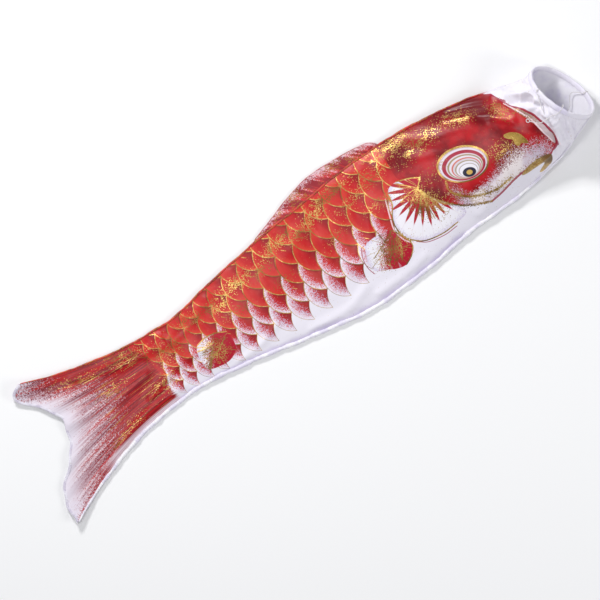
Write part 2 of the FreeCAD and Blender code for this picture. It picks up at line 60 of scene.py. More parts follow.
# Trunk stations, in millimetres: place along X, belly seam Y, back seam Y, seam Z, top Z
STATIONS = (
    (-234.0, -50.5, 55.5, 3.0, 5.4),
    (-217.0, -51.5, 54.5, 4.0, 8.5),
    (-150.0, -62.5, 63.5, 4.0, 9.5),
    (-60.0, -82.0, 75.5, 4.0, 11.0),
    (50.0, -102.5, 84.5, 4.0, 13.0),
    (135.0, -102.0, 91.0, 4.5, 17.0),
    (240.0, -91.5, 88.0, 7.0, 29.0),
    (345.0, -88.5, 71.0, 13.0, 52.0),
    (398.0, -80.5, 56.5, 22.0, 70.0),
)
TAIL_X, SPLIT_X, LIP_X = -234.0, -120.0, 398.0

# Tail edges seen from above, in millimetres, and where each fork corner lies between belly (0) and back (1)
BELLY_EDGE = ((-234.0, -50.5), (-366.0, -64.0), (-499.0, -114.2))
BACK_EDGE = ((-234.0, 55.5), (-345.0, 71.5), (-452.0, 107.5))
FORK = (
    (0.0, -499.0, -114.2),
    (0.12, -498.5, -90.0),
    (0.27, -483.0, -57.0),
    (0.41, -456.0, -31.0),
    (0.52, -438.0, -8.0),
    (0.68, -430.0, 28.0),
    (0.84, -447.0, 62.0),
    (0.96, -467.5, 100.0),
    (1.0, -452.0, 107.5),
)

# Mouth hoop, in millimetres: its middle, and its directions to the back seam, to the top and out of the mouth
HOOP_MIDDLE = np.array((464.95, -0.9, 53.3))
HOOP_SIDE = np.array((-0.345298, 0.938493, 0.0))
HOOP_TOP = np.array((-0.428983, -0.157835, 0.889416))
HOOP_OUT = np.array((0.834711, 0.307114, 0.457098))
HOOP_RADIUS = 54.4

# Routes of the bridle's cords, in metres
LINE_ROUTE = (
    (0.4902, -0.0203, 0.0146),
    (0.4842, -0.0132, 0.0096),
    (0.4770, -0.0088, 0.0072),
    (0.4706, -0.0146, 0.0064),
    (0.4656, -0.0244, 0.0068),
    (0.4576, -0.0290, 0.0108),
    (0.4524, -0.0270, 0.0230),
    (0.4506, -0.0240, 0.0460),
    (0.4503, -0.0214, 0.0700),
    (0.4499, -0.0202, 0.0860),
    (0.4492, -0.0186, 0.0954),
    (0.4532, -0.0172, 0.1006),
    (0.4508, -0.0201, 0.1072),
    (0.4448, -0.0226, 0.1056),
    (0.4368, -0.0244, 0.1020),
    (0.4286, -0.0210, 0.0972),
    (0.4186, -0.0216, 0.0908),
    (0.4090, -0.0206, 0.0846),
    (0.4034, -0.0148, 0.0810),
    (0.3986, -0.0090, 0.0784),
)
LEG_ROUTE = (
    (0.4306, 0.0174, 0.0982),
    (0.4278, 0.0102, 0.0986),
    (0.4252, 0.0016, 0.0976),
    (0.4234, -0.0070, 0.0958),
    (0.4218, -0.0146, 0.0940),
    (0.4212, -0.0198, 0.0924),
)
CORD_RADIUS = 0.0006

# Where the bridle's end loop lies on the cheek, in millimetres
LOOP_PLACE = (396.0, -5.0)


class Side(Enum):
    """Which of the two sewn panels a cloth piece belongs to."""

    NEAR = 1
    FAR = -1


class Half(Enum):
    """The front of the streamer, with the head and throat, or the rear, with the tail."""

    FRONT = "front"
    REAR = "rear"


def ink(red: int, green: int, blue: int) -> tuple[float, float, float, float]:
    """A dye or paint colour.

    Args:
        red, green, blue: the colour as it looks, each from 0 to 255.

    Returns:
        The colour in linear light, with full alpha.
    """
    shares = [c / 255 for c in (red, green, blue)]
    light = [c / 12.92 if c <= 0.04045 else ((c + 0.055) / 1.055) ** 2.4 for c in shares]
    return (*light, 1.0)


# ----------------------------------------------------------------------------------------------
# Curves and fields in the plan of the cloth, in millimetres
# ----------------------------------------------------------------------------------------------


def ease(x: np.ndarray, low: float, high: float) -> np.ndarray:
    """Smooth rise from 0 at low to 1 at high."""
    t = np.clip((x - low) / (high - low), 0, 1)
    return t * t * (3 - 2 * t)


def through(xs: np.ndarray, ys: np.ndarray, x: np.ndarray) -> np.ndarray:
    """A smooth curve through given values.

    Args:
        xs: rising places.
        ys: the value at each place.
        x: where the curve is wanted.

    Returns:
        The curve's value at each x, with a slope that runs on through every place.
    """
    xs, ys = np.asarray(xs, float), np.asarray(ys, float)
    slopes = np.gradient(ys, xs)
    i = np.clip(np.searchsorted(xs, x) - 1, 0, len(xs) - 2)
    step = xs[i + 1] - xs[i]
    t = (x - xs[i]) / step
    a = (2 * t**3 - 3 * t**2 + 1) * ys[i] + (t**3 - 2 * t**2 + t) * step * slopes[i]
    b = (3 * t**2 - 2 * t**3) * ys[i + 1] + (t**3 - t**2) * step * slopes[i + 1]
    return a + b


def rounded(points: tuple, closed: bool, steps: int = 8) -> np.ndarray:
    """A smooth line through given points.

    Args:
        points: the points, each (x, y).
        closed: whether the line comes back to its start.
        steps: straight runs between two neighbouring points.

    Returns:
        The line's corners, one row each.
    """
    p = np.asarray(points, float)
    if closed:
        ring = np.vstack([p[-1], p, p[0], p[1]])
    else:
        ring = np.vstack([2 * p[0] - p[1], p, 2 * p[-1] - p[-2]])
    out = []
    for a, b, c, d in zip(ring, ring[1:], ring[2:], ring[3:]):
        for t in np.arange(steps) / steps:
            bend, twist = 2 * a - 5 * b + 4 * c - d, 3 * b - a - 3 * c + d
            out.append(0.5 * (2 * b + (c - a) * t + bend * t**2 + twist * t**3))
    if not closed:
        out.append(p[-1])
    return np.array(out)


def near_line(places: np.ndarray, line: np.ndarray) -> tuple[np.ndarray, np.ndarray]:
    """Distance to a line of straight runs.

    Args:
        places: points, one row each.
        line: the line's corners.

    Returns:
        The distance, and the same with a sign that tells the line's two sides apart.
    """
    best = np.full(len(places), 1e9)
    side = np.ones(len(places))
    for a, b in zip(line, line[1:]):
        run = b - a
        rel = places - a
        t = np.clip(rel @ run / max(run @ run, 1e-9), 0, 1)
        far = np.hypot(*(rel - t[:, None] * run).T)
        turn = run[0] * rel[:, 1] - run[1] * rel[:, 0]
        closer = far < best
        best = np.where(closer, far, best)
        side = np.where(closer, np.sign(turn), side)
    return best, best * side


def inside(places: np.ndarray, outline: tuple) -> np.ndarray:
    """Distance from a smooth closed outline, positive inside it and negative outside."""
    line = rounded(outline, closed=True)
    line = np.vstack([line, line[:1]])
    best, _ = near_line(places, line)
    x, y = places[:, 0], places[:, 1]
    within = np.zeros(len(places), bool)
    for (ax, ay), (bx, by) in zip(line, line[1:]):
        crosses = (ay > y) != (by > y)
        at = ax + (y - ay) * (bx - ax) / (by - ay if by != ay else 1e-9)
        within ^= crosses & (x < at)
    return np.where(within, best, -best)


def waves(places: np.ndarray, length: float, seed: int) -> np.ndarray:
    """Irregular ripples about 1 high.

    Args:
        places: points, one row each, in millimetres.
        length: usual distance from crest to crest.
        seed: which set of ripples.

    Returns:
        The ripples' height at each point.
    """
    rng = np.random.default_rng(seed)
    total = np.zeros(len(places))
    for _ in range(9):
        turn, phase = rng.uniform(0, 2 * math.pi, 2)
        pace = 2 * math.pi / (length * rng.uniform(0.7, 1.6))
        total += np.sin((places[:, 0] * math.cos(turn) + places[:, 1] * math.sin(turn)) * pace + phase)
    return total / 3


@dataclass(frozen=True)
class Stroke:
    """A printed line: its points in the plan of the cloth and its half width, in millimetres."""

    points: tuple
    half: float = 0.8


@dataclass(frozen=True)
class Fold:
    """A soft ridge in the cloth, or a valley where its height is negative, in millimetres."""

    points: tuple
    width: float
    height: float


# The print, laid out in the plan of the cloth
LIP_LINE = (
    (372, 58), (381, 44), (390, 26), (404, 7), (413, -16), (417.5, -36), (418, -49), (415, -58),
    (407, -64), (395, -68),
)
LIP_INNER = ((384, 34), (392, 17), (400, -2), (405, -20), (408, -38), (410, -53))
GILL_EDGE = ((206, 4), (211, -12), (221, -29), (239, -48), (262, -64), (286, -73))
JAW = ((392, -68), (370, -67.5), (349, -66), (330, -68), (308, -72), (286, -74))
HOOK = ((246, -12), (243, -25), (252, -40), (270, -54), (298, -63), (330, -62))
PECTORAL = (
    (207, 6), (219, 16), (203, 25), (186, 31), (172, 30), (165, 22), (161, 6), (150, -10), (146, -27),
    (150, -45), (160, -58), (174, -67), (200, -72), (226, -71), (246, -66), (240, -50), (221, -30),
    (211, -12),
)
PELVIC = (
    (139, -25), (124, -20), (108, -18), (93, -21), (86, -33), (81, -48), (84, -61), (98, -68), (112, -76),
    (128, -79), (143, -71), (152, -56),
)
ANAL = (
    (-152, -6), (-166, 1), (-184, 4), (-199, 1), (-206, -10), (-208, -24), (-205, -38), (-186, -44),
    (-168, -44), (-152, -33),
)
HEAD = (
    (196, 100), (191, 62), (190, 34), (204, 24), (219, 16), (207, 4), (212, -12), (222, -29), (240, -48),
    (264, -64), (286, -72), (318, -69), (350, -65), (376, -66), (395, -68), (407, -64), (415, -58),
    (418, -49), (417.5, -36), (413, -16), (404, 7), (390, 26), (381, 44), (372, 60), (340, 84),
    (260, 104),
)
CHEEK = (
    (402, -50), (380, -38), (352, -33), (330, -40), (306, -49), (282, -54), (262, -52), (254, -38),
    (248, -30), (252, -52), (276, -72), (320, -74), (360, -73), (396, -70),
)
LIPS = (
    (384, 40), (393, 22), (402, 6), (410, -14), (415.5, -34), (416, -49), (412, -58),
    (409, -52), (407.5, -38), (403, -18), (396, 2), (388, 22),
)
LEAF = (
    (355, -4), (366, -6), (376, -15), (380, -30), (379, -35), (371, -29), (365, -30), (362, -24),
    (363, -17), (357, -11),
)
CORNER = (
    (393, -64), (378, -62), (360, -63), (345, -68), (352, -71), (372, -71), (384, -72), (370, -79),
    (378, -81), (392, -76), (399, -69),
)
GOLD_STROKES = (
    Stroke(GILL_EDGE, 1.5),
    Stroke(HOOK, 1.3),
    Stroke(((219, 16), (207, 4), (211, -12)), 0.8),
    Stroke(((219, 16), (203, 25), (186, 31)), 0.8),
    Stroke(
        (
            (165, 22), (161, 6), (150, -10), (146, -27), (150, -45), (160, -58), (174, -67), (200, -72),
            (226, -71),
        ),
        0.9,
    ),
    Stroke(((139, -25), (152, -56), (143, -71), (128, -79)), 0.8),
    Stroke(((134, -32), (122, -48), (106, -66)), 0.7),
    Stroke(((140, -36), (136, -54), (126, -70)), 0.7),
    Stroke(((130, -29), (112, -36), (93, -44)), 0.7),
    Stroke(((-152, -6), (-166, 1), (-184, 4), (-199, 1)), 0.8),
    Stroke(((-158, -12), (-176, -22), (-196, -30)), 0.7),
    Stroke(((209, -1), (196, -18), (186, -38)), 0.6),
    Stroke(((208, -4), (204, -24), (202, -46)), 0.6),
    Stroke(((206, 4), (188, -6), (172, -20)), 0.6),
    Stroke(((212, -12), (215, -30), (220, -48)), 0.6),
    Stroke(((206, 6), (190, 6), (174, 2)), 0.6),
)
CRIMSON_STROKES = (
    Stroke(LIP_LINE, 1.3),
    Stroke(JAW, 1.5),
    Stroke(((160, -60), (174, -70), (200, -75.5), (222, -75)), 0.6),
    Stroke(((86, -20), (79, -34), (77, -50), (80, -63)), 0.6),
    Stroke(((376, 52), (387, 38)), 0.8),
)
WHITE_STROKES = (
    Stroke(LIP_INNER, 1.1),
    Stroke(((420.5, -30), (421.5, -46), (418.5, -60)), 0.5),
    Stroke(((157, 18), (148, -6), (142, -27), (146, -47), (157, -61)), 1.0),
)
# Drifts of gold glitter: middle, reach along X, reach along Y, turn in degrees, density
GLITTER = (
    (208, 80, 40, 13, -6, 0.95), (245, 60, 40, 14, 8, 0.75), (312, 57, 34, 12, -22, 0.8),
    (372, 28, 22, 12, -60, 0.85), (340, -22, 26, 14, -10, 0.62), (160, 60, 34, 12, 10, 0.6),
    (88, 73, 42, 9, 4, 0.95), (58, 62, 30, 12, 12, 0.9), (25, 52, 26, 11, 0, 0.7),
    (-15, 58, 34, 10, 6, 0.9), (-99, 44, 34, 11, 4, 0.85), (-140, 34, 26, 11, 0, 0.8),
    (-185, 38, 26, 10, -6, 0.7), (150, 20, 26, 9, 0, 0.5), (60, 12, 26, 8, 20, 0.45),
    (-40, 6, 24, 8, 10, 0.4), (204, -20, 32, 20, -62, 1.0), (186, 2, 18, 12, 0, 0.5),
    (121, -49, 27, 19, 20, 1.2), (-181, -20, 20, 17, 0, 1.4), (256, -46, 26, 9, -42, 0.8),
    (290, -60, 34, 9, -6, 0.8), (315, -63, 24, 6, 0, 0.7), (-240, 20, 26, 18, 0, 0.6),
    (-300, 48, 40, 12, -16, 0.65), (-275, -18, 30, 12, 8, 0.6), (-345, 20, 26, 9, 0, 0.55),
    (-120, 8, 24, 9, 0, 0.45), (380, -62, 16, 6, 0, 0.6), (240, 10, 26, 12, 20, 0.3),
    (398, 4, 20, 4, -62, 0.7), (385, -44, 22, 10, 0, 0.4), (110, 46, 30, 10, 8, 0.55),
    (-60, 40, 30, 10, 6, 0.55), (-345, -40, 40, 8, 12, 0.4), (-375, 62, 40, 8, -18, 0.4),
)
NEAR_FOLDS = (
    Fold(((431, 22), (412, 31), (394, 40)), 4.5, 7.0),
    Fold(((431, 20), (420, 8), (400, 4)), 4.0, 4.5),
    Fold(((436, 40), (410, 50), (376, 54)), 7.0, 4.5),
    Fold(((424, -12), (427, -26), (424, -44), (418, -58)), 4.5, 6.0),
    Fold(((438, -10), (434, -30), (431, -52), (434, -80)), 4.5, 6.0),
    Fold(((450, -40), (440, -58), (436, -76)), 4.0, 4.5),
    Fold(((424, 0), (410, 18), (390, 30)), 4.0, -4.5),
    Fold(((433, 24), (420, 26), (402, 22)), 2.6, 3.6),
    Fold(((440, 48), (424, 58), (404, 66)), 4.0, 4.0),
    Fold(((452, 60), (430, 66), (400, 72)), 4.5, -3.0),
    Fold(((452, -36), (446, -56), (446, -84)), 3.6, -4.0),
    Fold(((428, -58), (410, -72), (392, -80)), 4.0, 3.6),
    Fold(((433, 18), (424, 2), (414, -8)), 2.6, 2.2),
    Fold(((438, 10), (432, -2), (428, -12)), 2.8, -2.2),
    Fold(((436, 32), (420, 44), (398, 50)), 3.2, -2.6),
    Fold(((446, -26), (438, -44), (431, -62)), 3.0, -2.8),
    Fold(((456, -48), (447, -62), (444, -74)), 2.8, 2.4),
    Fold(((420, -34), (414, -52), (404, -66)), 3.0, -2.0),
    Fold(((404, 48), (388, 54), (372, 62)), 3.0, 2.2),
    Fold(((420, -66), (400, -76), (372, -84)), 5.0, 2.6),
    Fold(((305, 76), (332, 66), (358, 52)), 5.0, -3.6),
    Fold(((296, 64), (330, 48), (356, 36)), 8.0, 2.2),
    Fold(((341, 38), (372, 8), (398, -18), (412, -36)), 8.0, 3.4),
    Fold(((352, 24), (378, -2), (400, -30)), 5.0, -2.0),
    Fold(((330, -50), (300, -66), (262, -80)), 9.0, 2.0),
    Fold(((230, 62), (262, 40), (300, 26)), 12.0, -1.8),
    Fold(((206, 84), (180, 60), (150, 44)), 12.0, 1.4),
    Fold(((160, -84), (120, -90), (70, -90)), 7.0, 1.8),
    Fold(((60, -72), (20, -84), (-40, -78)), 8.0, 2.0),
    Fold(((110, -20), (60, -40), (10, -46)), 16.0, 1.2),
    Fold(((-80, -40), (-120, -52), (-160, -54)), 6.0, 1.6),
    Fold(((40, 60), (-10, 40), (-60, 34)), 12.0, 1.1),
    Fold(((-150, 50), (-210, 30), (-270, 34)), 8.0, 1.6),
    Fold(((-180, -10), (-240, -6), (-300, -22)), 7.0, 1.8),
    Fold(((-230, 44), (-300, 40), (-380, 66)), 7.0, 1.9),
    Fold(((-250, -36), (-330, -40), (-420, -70)), 7.0, 2.2),
    Fold(((-290, 8), (-360, 4), (-424, 16)), 9.0, 1.8),
)


def warp_to_scales(places: np.ndarray) -> np.ndarray:
    """Places in a plan where every scale is as large as at the breast."""
    breast, head_end = 33.0, 440.0
    knots = np.array((-320.0, -260.0, -200.0, -130.0, -60.0, 20.0, head_end))
    pitch = np.array((21.5, 22.5, 25.0, 28.5, 31.5, breast, breast))
    grain = np.linspace(-520.0, 520.0, 1041)
    stretch = breast / np.interp(grain, knots, pitch)
    along = np.concatenate([[0.0], np.cumsum((stretch[1:] + stretch[:-1]) / 2)])
    along += head_end - np.interp(head_end, grain, along)
    here = np.interp(places[:, 0], grain, stretch)
    return np.stack([np.interp(places[:, 0], grain, along), places[:, 1] * here], axis=1)


# ----------------------------------------------------------------------------------------------
# Mesh helpers
# ----------------------------------------------------------------------------------------------


def deselect() -> None:
    """Nothing stays selected, so that the next operator acts on the new piece alone."""
    if bpy.context.object and bpy.context.object.mode != "OBJECT":
        bpy.ops.object.mode_set(mode="OBJECT")
    bpy.ops.object.select_all(action="DESELECT")


def take(piece: bpy.types.Object) -> None:
    """Make a piece the only selected one, and the active one."""
    deselect()
    piece.select_set(True)
    bpy.context.view_layer.objects.active = piece


def corners(piece: bpy.types.Object) -> np.ndarray:
    """The piece's vertices, one row each."""
    co = np.empty(len(piece.data.vertices) * 3, np.float32)
    piece.data.vertices.foreach_get("co", co)
    return co.reshape(-1, 3).astype(float)


def place(piece: bpy.types.Object, co: np.ndarray) -> None:
    """Put the piece's vertices at these places, in metres."""
    piece.data.vertices.foreach_set("co", co.astype(np.float32).ravel())
    piece.data.update()


def turn_out(piece: bpy.types.Object, flip: bool = False) -> None:
    """Make the faces point outwards, or turn them all over."""
    take(piece)
    bpy.ops.object.mode_set(mode="EDIT")
    bpy.ops.mesh.select_all(action="SELECT")
    if flip:
        bpy.ops.mesh.flip_normals()
    else:
        bpy.ops.mesh.normals_make_consistent(inside=False)
    bpy.ops.object.mode_set(mode="OBJECT")


def thicken(piece: bpy.types.Object, thickness: float = CLOTH_THICKNESS, lining: int = 0) -> None:
    """Give a sheet its thickness on the inner side.

    Args:
        piece: the sheet, whose faces point outwards.
        thickness: in metres.
        lining: how many material slots further the inner face's finish is.
    """
    take(piece)
    wall = piece.modifiers.new("wall", "SOLIDIFY")
    wall.thickness = thickness
    wall.offset = -1.0
    wall.material_offset = lining
    bpy.ops.object.modifier_apply(modifier=wall.name)
    bpy.ops.object.shade_smooth_by_angle(angle=math.radians(62))


def grid(name: str, along: int, across: int) -> tuple[bpy.types.Object, np.ndarray, np.ndarray]:
    """A flat grid of cloth, ready to be laid.

    Args:
        name: the piece's name.
        along: cells along the first direction.
        across: cells along the second direction.

    Returns:
        The piece, and each vertex's share along and across, from 0 to 1.
    """
    deselect()
    bpy.ops.mesh.primitive_grid_add(x_subdivisions=along, y_subdivisions=across, size=2)
    piece = bpy.context.object
    piece.name = piece.data.name = name
    co = corners(piece)
    return piece, (co[:, 0] + 1) / 2, (co[:, 1] + 1) / 2


def write_uv(piece: bpy.types.Object, name: str, uv: np.ndarray) -> None:
    """Give the piece a UV map from one pair of numbers per vertex."""
    layer = piece.data.uv_layers.get(name) or piece.data.uv_layers.new(name=name)
    loops = np.empty(len(piece.data.loops), np.int32)
    piece.data.loops.foreach_get("vertex_index", loops)
    layer.data.foreach_set("uv", uv[loops].astype(np.float32).ravel())


def write_field(piece: bpy.types.Object, name: str, values: np.ndarray) -> None:
    """Give the piece a field of one number or three numbers per vertex."""
    kind, key = ("FLOAT_VECTOR", "vector") if values.ndim == 2 else ("FLOAT", "value")
    made = piece.data.attributes.new(name, kind, "POINT")
    made.data.foreach_set(key, values.astype(np.float32).ravel())


def write_strokes(piece: bpy.types.Object, name: str, plan: np.ndarray, strokes: tuple) -> None:
    """Write printed lines as a field: the nearest one's signed distance, distance and half width."""
    best = np.full(len(plan), 1e9)
    rows = np.zeros((len(plan), 3))
    for stroke in strokes:
        far, signed = near_line(plan, rounded(stroke.points, closed=False))
        share = far - stroke.half
        closer = share < best
        best = np.where(closer, share, best)
        rows[closer] = np.stack([signed, far, np.full(len(plan), stroke.half)], axis=1)[closer]
    write_field(piece, name, rows)


def write_outlines(piece: bpy.types.Object, name: str, plan: np.ndarray, outlines: tuple) -> None:
    """Write up to three printed outlines as a field: the distance inside each one's edge."""
    distances = np.zeros((len(plan), 3))
    for column, outline in enumerate(outlines):
        distances[:, column] = inside(plan, outline)
    write_field(piece, name, distances)


def glitter_drifts(plan: np.ndarray) -> np.ndarray:
    """How densely gold glitter lies at each place, from 0 to 1."""
    total = np.zeros(len(plan))
    for x, y, reach_x, reach_y, turn, density in GLITTER:
        c, s = math.cos(math.radians(turn)), math.sin(math.radians(turn))
        dx, dy = plan[:, 0] - x, plan[:, 1] - y
        along, across = (dx * c + dy * s) / reach_x, (dy * c - dx * s) / reach_y
        total = np.maximum(total, density * np.exp(-((along**2 + across**2) ** 1.3)))
    return np.clip(total * (1 + 0.35 * waves(plan, 14, 5)), 0, 1)


def length_along(line: np.ndarray) -> np.ndarray:
    """How far each corner of a line is from its first one, along the line."""
    return np.concatenate([[0.0], np.cumsum(np.linalg.norm(np.diff(line, axis=0), axis=1))])


def tube_along(
    name: str, line: np.ndarray, wide: np.ndarray, high: np.ndarray, sides: int = 14
) -> bpy.types.Object:
    """A rolled edge: a closed tube of oval section along a line.

    Args:
        name: the piece's name.
        line: middle of the tube, one row per ring, in millimetres.
        wide: half width beside the line at each ring.
        high: half height at each ring.
        sides: corners of a ring.

    Returns:
        The piece, with a UV map named roll that holds the length along it and the share round it.
    """
    deselect()
    rings = len(line)
    bpy.ops.mesh.primitive_cylinder_add(vertices=sides, radius=1, depth=2, end_fill_type="NGON")
    piece = bpy.context.object
    piece.name = piece.data.name = name
    bpy.ops.object.mode_set(mode="EDIT")
    bpy.ops.mesh.select_all(action="DESELECT")
    bpy.ops.object.mode_set(mode="OBJECT")
    for edge in piece.data.edges:
        a, b = (piece.data.vertices[i].co for i in edge.vertices)
        edge.select = abs(a.z - b.z) > 1
    bpy.ops.object.mode_set(mode="EDIT")
    bpy.ops.mesh.subdivide(number_cuts=rings - 2)
    bpy.ops.object.mode_set(mode="OBJECT")
    co = corners(piece)
    ring = np.clip(np.rint((co[:, 2] + 1) / 2 * (rings - 1)), 0, rings - 1).astype(int)
    angle = np.arctan2(co[:, 1], co[:, 0])
    run = np.gradient(line, axis=0)
    run /= np.linalg.norm(run, axis=1)[:, None]
    beside = np.cross(np.array((0.0, 0.0, 1.0)), run)
    beside /= np.linalg.norm(beside, axis=1)[:, None]
    above = np.cross(run, beside)
    aside = beside[ring] * (np.cos(angle) * wide[ring])[:, None]
    upward = above[ring] * (np.sin(angle) * high[ring])[:, None]
    place(piece, (line[ring] + aside + upward) * MM)
    length = length_along(line)
    write_uv(piece, "roll", np.stack([length[ring] * MM, angle / (2 * math.pi) + 0.5], axis=1))
    turn_out(piece)
    bpy.ops.object.shade_smooth_by_angle(angle=math.radians(62))
    return piece


# ----------------------------------------------------------------------------------------------
# Finishes
# ----------------------------------------------------------------------------------------------


class Wiring:
    """Short names for laying nodes in a material or a group."""

    def __init__(self, tree: bpy.types.NodeTree) -> None:
        """Work in this node tree."""
        self.tree = tree

    def node(self, kind: str, **settings: object) -> bpy.types.Node:
        """A new node with these settings."""
        made = self.tree.nodes.new(kind)
        for key, value in settings.items():
            setattr(made, key, value)
        return made

    def feed(self, socket: bpy.types.NodeSocket, source: object) -> None:
        """Link a socket to another, or set it to a number or colour."""
        if isinstance(source, bpy.types.NodeSocket):
            self.tree.links.new(source, socket)
        else:
            socket.default_value = source

    def math(self, operation: str, a: object, b: object = 0.0, c: object = 0.0) -> bpy.types.NodeSocket:
        """The result of one sum."""
        made = self.node("ShaderNodeMath", operation=operation)
        for socket, source in zip(made.inputs, (a, b, c)):
            self.feed(socket, source)
        return made.outputs[0]

    def add(self, a: object, b: object) -> bpy.types.NodeSocket:
        """a + b."""
        return self.math("ADD", a, b)

    def minus(self, a: object, b: object) -> bpy.types.NodeSocket:
        """a - b."""
        return self.math("SUBTRACT", a, b)

    def times(self, a: object, b: object) -> bpy.types.NodeSocket:
        """a x b."""
        return self.math("MULTIPLY", a, b)

    def most(self, a: object, b: object) -> bpy.types.NodeSocket:
        """The greater of two."""
        return self.math("MAXIMUM", a, b)

    def least(self, a: object, b: object) -> bpy.types.NodeSocket:
        """The smaller of two."""
        return self.math("MINIMUM", a, b)

    def rise(self, x: object, low: float, high: float) -> bpy.types.NodeSocket:
        """Smooth rise from 0 at low to 1 at high, or a fall where low is above high."""
        made = self.node("ShaderNodeMapRange", interpolation_type="SMOOTHSTEP")
        flip = low > high
        self.feed(made.inputs["Value"], x)
        made.inputs["From Min"].default_value = min(low, high)
        made.inputs["From Max"].default_value = max(low, high)
        made.inputs["To Min"].default_value = 1.0 if flip else 0.0
        made.inputs["To Max"].default_value = 0.0 if flip else 1.0
        return made.outputs[0]

    def mix(self, share: object, a: object, b: object) -> bpy.types.NodeSocket:
        """Colour a, or b where share is 1."""
        made = self.node("ShaderNodeMix", data_type="RGBA")
        self.feed(made.inputs[0], share)
        self.feed(made.inputs[6], a)
        self.feed(made.inputs[7], b)
        return made.outputs[2]

    def pick(self, share: object, a: object, b: object) -> bpy.types.NodeSocket:
        """Number a, or b where share is 1."""
        made = self.node("ShaderNodeMix", data_type="FLOAT")
        for index, source in enumerate((share, a, b)):
            self.feed(made.inputs[(0, 2, 3)[index]], source)
        return made.outputs[0]

    def split(self, vector: object) -> tuple:
        """The three parts of a vector."""
        made = self.node("ShaderNodeSeparateXYZ")
        self.feed(made.inputs[0], vector)
        return tuple(made.outputs)

    def joined(self, x: object, y: object, z: object = 0.0) -> bpy.types.NodeSocket:
        """A vector of three parts."""
        made = self.node("ShaderNodeCombineXYZ")
        for socket, source in zip(made.inputs, (x, y, z)):
            self.feed(socket, source)
        return made.outputs[0]

    def scaled(self, vector: object, by: tuple) -> bpy.types.NodeSocket:
        """A vector with each part multiplied."""
        made = self.node("ShaderNodeVectorMath", operation="MULTIPLY")
        self.feed(made.inputs[0], vector)
        made.inputs[1].default_value = by
        return made.outputs[0]

    def noise(
        self, vector: object, scale: float, detail: float = 2.0, rough: float = 0.5
    ) -> bpy.types.NodeSocket:
        """Cloudy noise round 0.5."""
        made = self.node("ShaderNodeTexNoise")
        self.feed(made.inputs["Vector"], vector)
        made.inputs["Scale"].default_value = scale
        made.inputs["Detail"].default_value = detail
        made.inputs["Roughness"].default_value = rough
        return made.outputs[0]

    def field(self, name: str) -> bpy.types.Node:
        """A field written on the piece."""
        return self.node("ShaderNodeAttribute", attribute_name=name)

    def uv(self, name: str) -> bpy.types.NodeSocket:
        """One of the piece's UV maps."""
        return self.node("ShaderNodeUVMap", uv_map=name).outputs[0]

    def group(self, tree: bpy.types.NodeTree, **sources: object) -> bpy.types.Node:
        """A placed group; an underscore in a name stands for a space."""
        made = self.node("ShaderNodeGroup")
        made.node_tree = tree
        for key, source in sources.items():
            self.feed(made.inputs[key.replace("_", " ")], source)
        return made

    def object_place(self) -> bpy.types.NodeSocket:
        """Object coordinates."""
        return self.node("ShaderNodeTexCoord").outputs["Object"]


def new_group(name: str, takes: dict, gives: tuple) -> tuple[Wiring, dict, bpy.types.Node]:
    """An empty shader group with named inputs and outputs.

    Args:
        name: the group's name.
        takes: input names, each with a starting number, or None for a vector.
        gives: names of the outputs, all plain numbers.

    Returns:
        Its wiring, its inputs by name, and its output node.
    """
    tree = bpy.data.node_groups.new(name, "ShaderNodeTree")
    for key, start in takes.items():
        kind = "NodeSocketVector" if start is None else "NodeSocketFloat"
        made = tree.interface.new_socket(name=key, in_out="INPUT", socket_type=kind)
        if start is not None:
            made.default_value = start
    for key in gives:
        tree.interface.new_socket(name=key, in_out="OUTPUT", socket_type="NodeSocketFloat")
    wiring = Wiring(tree)
    source = wiring.node("NodeGroupInput")
    return wiring, {s.name: s for s in source.outputs}, wiring.node("NodeGroupOutput")


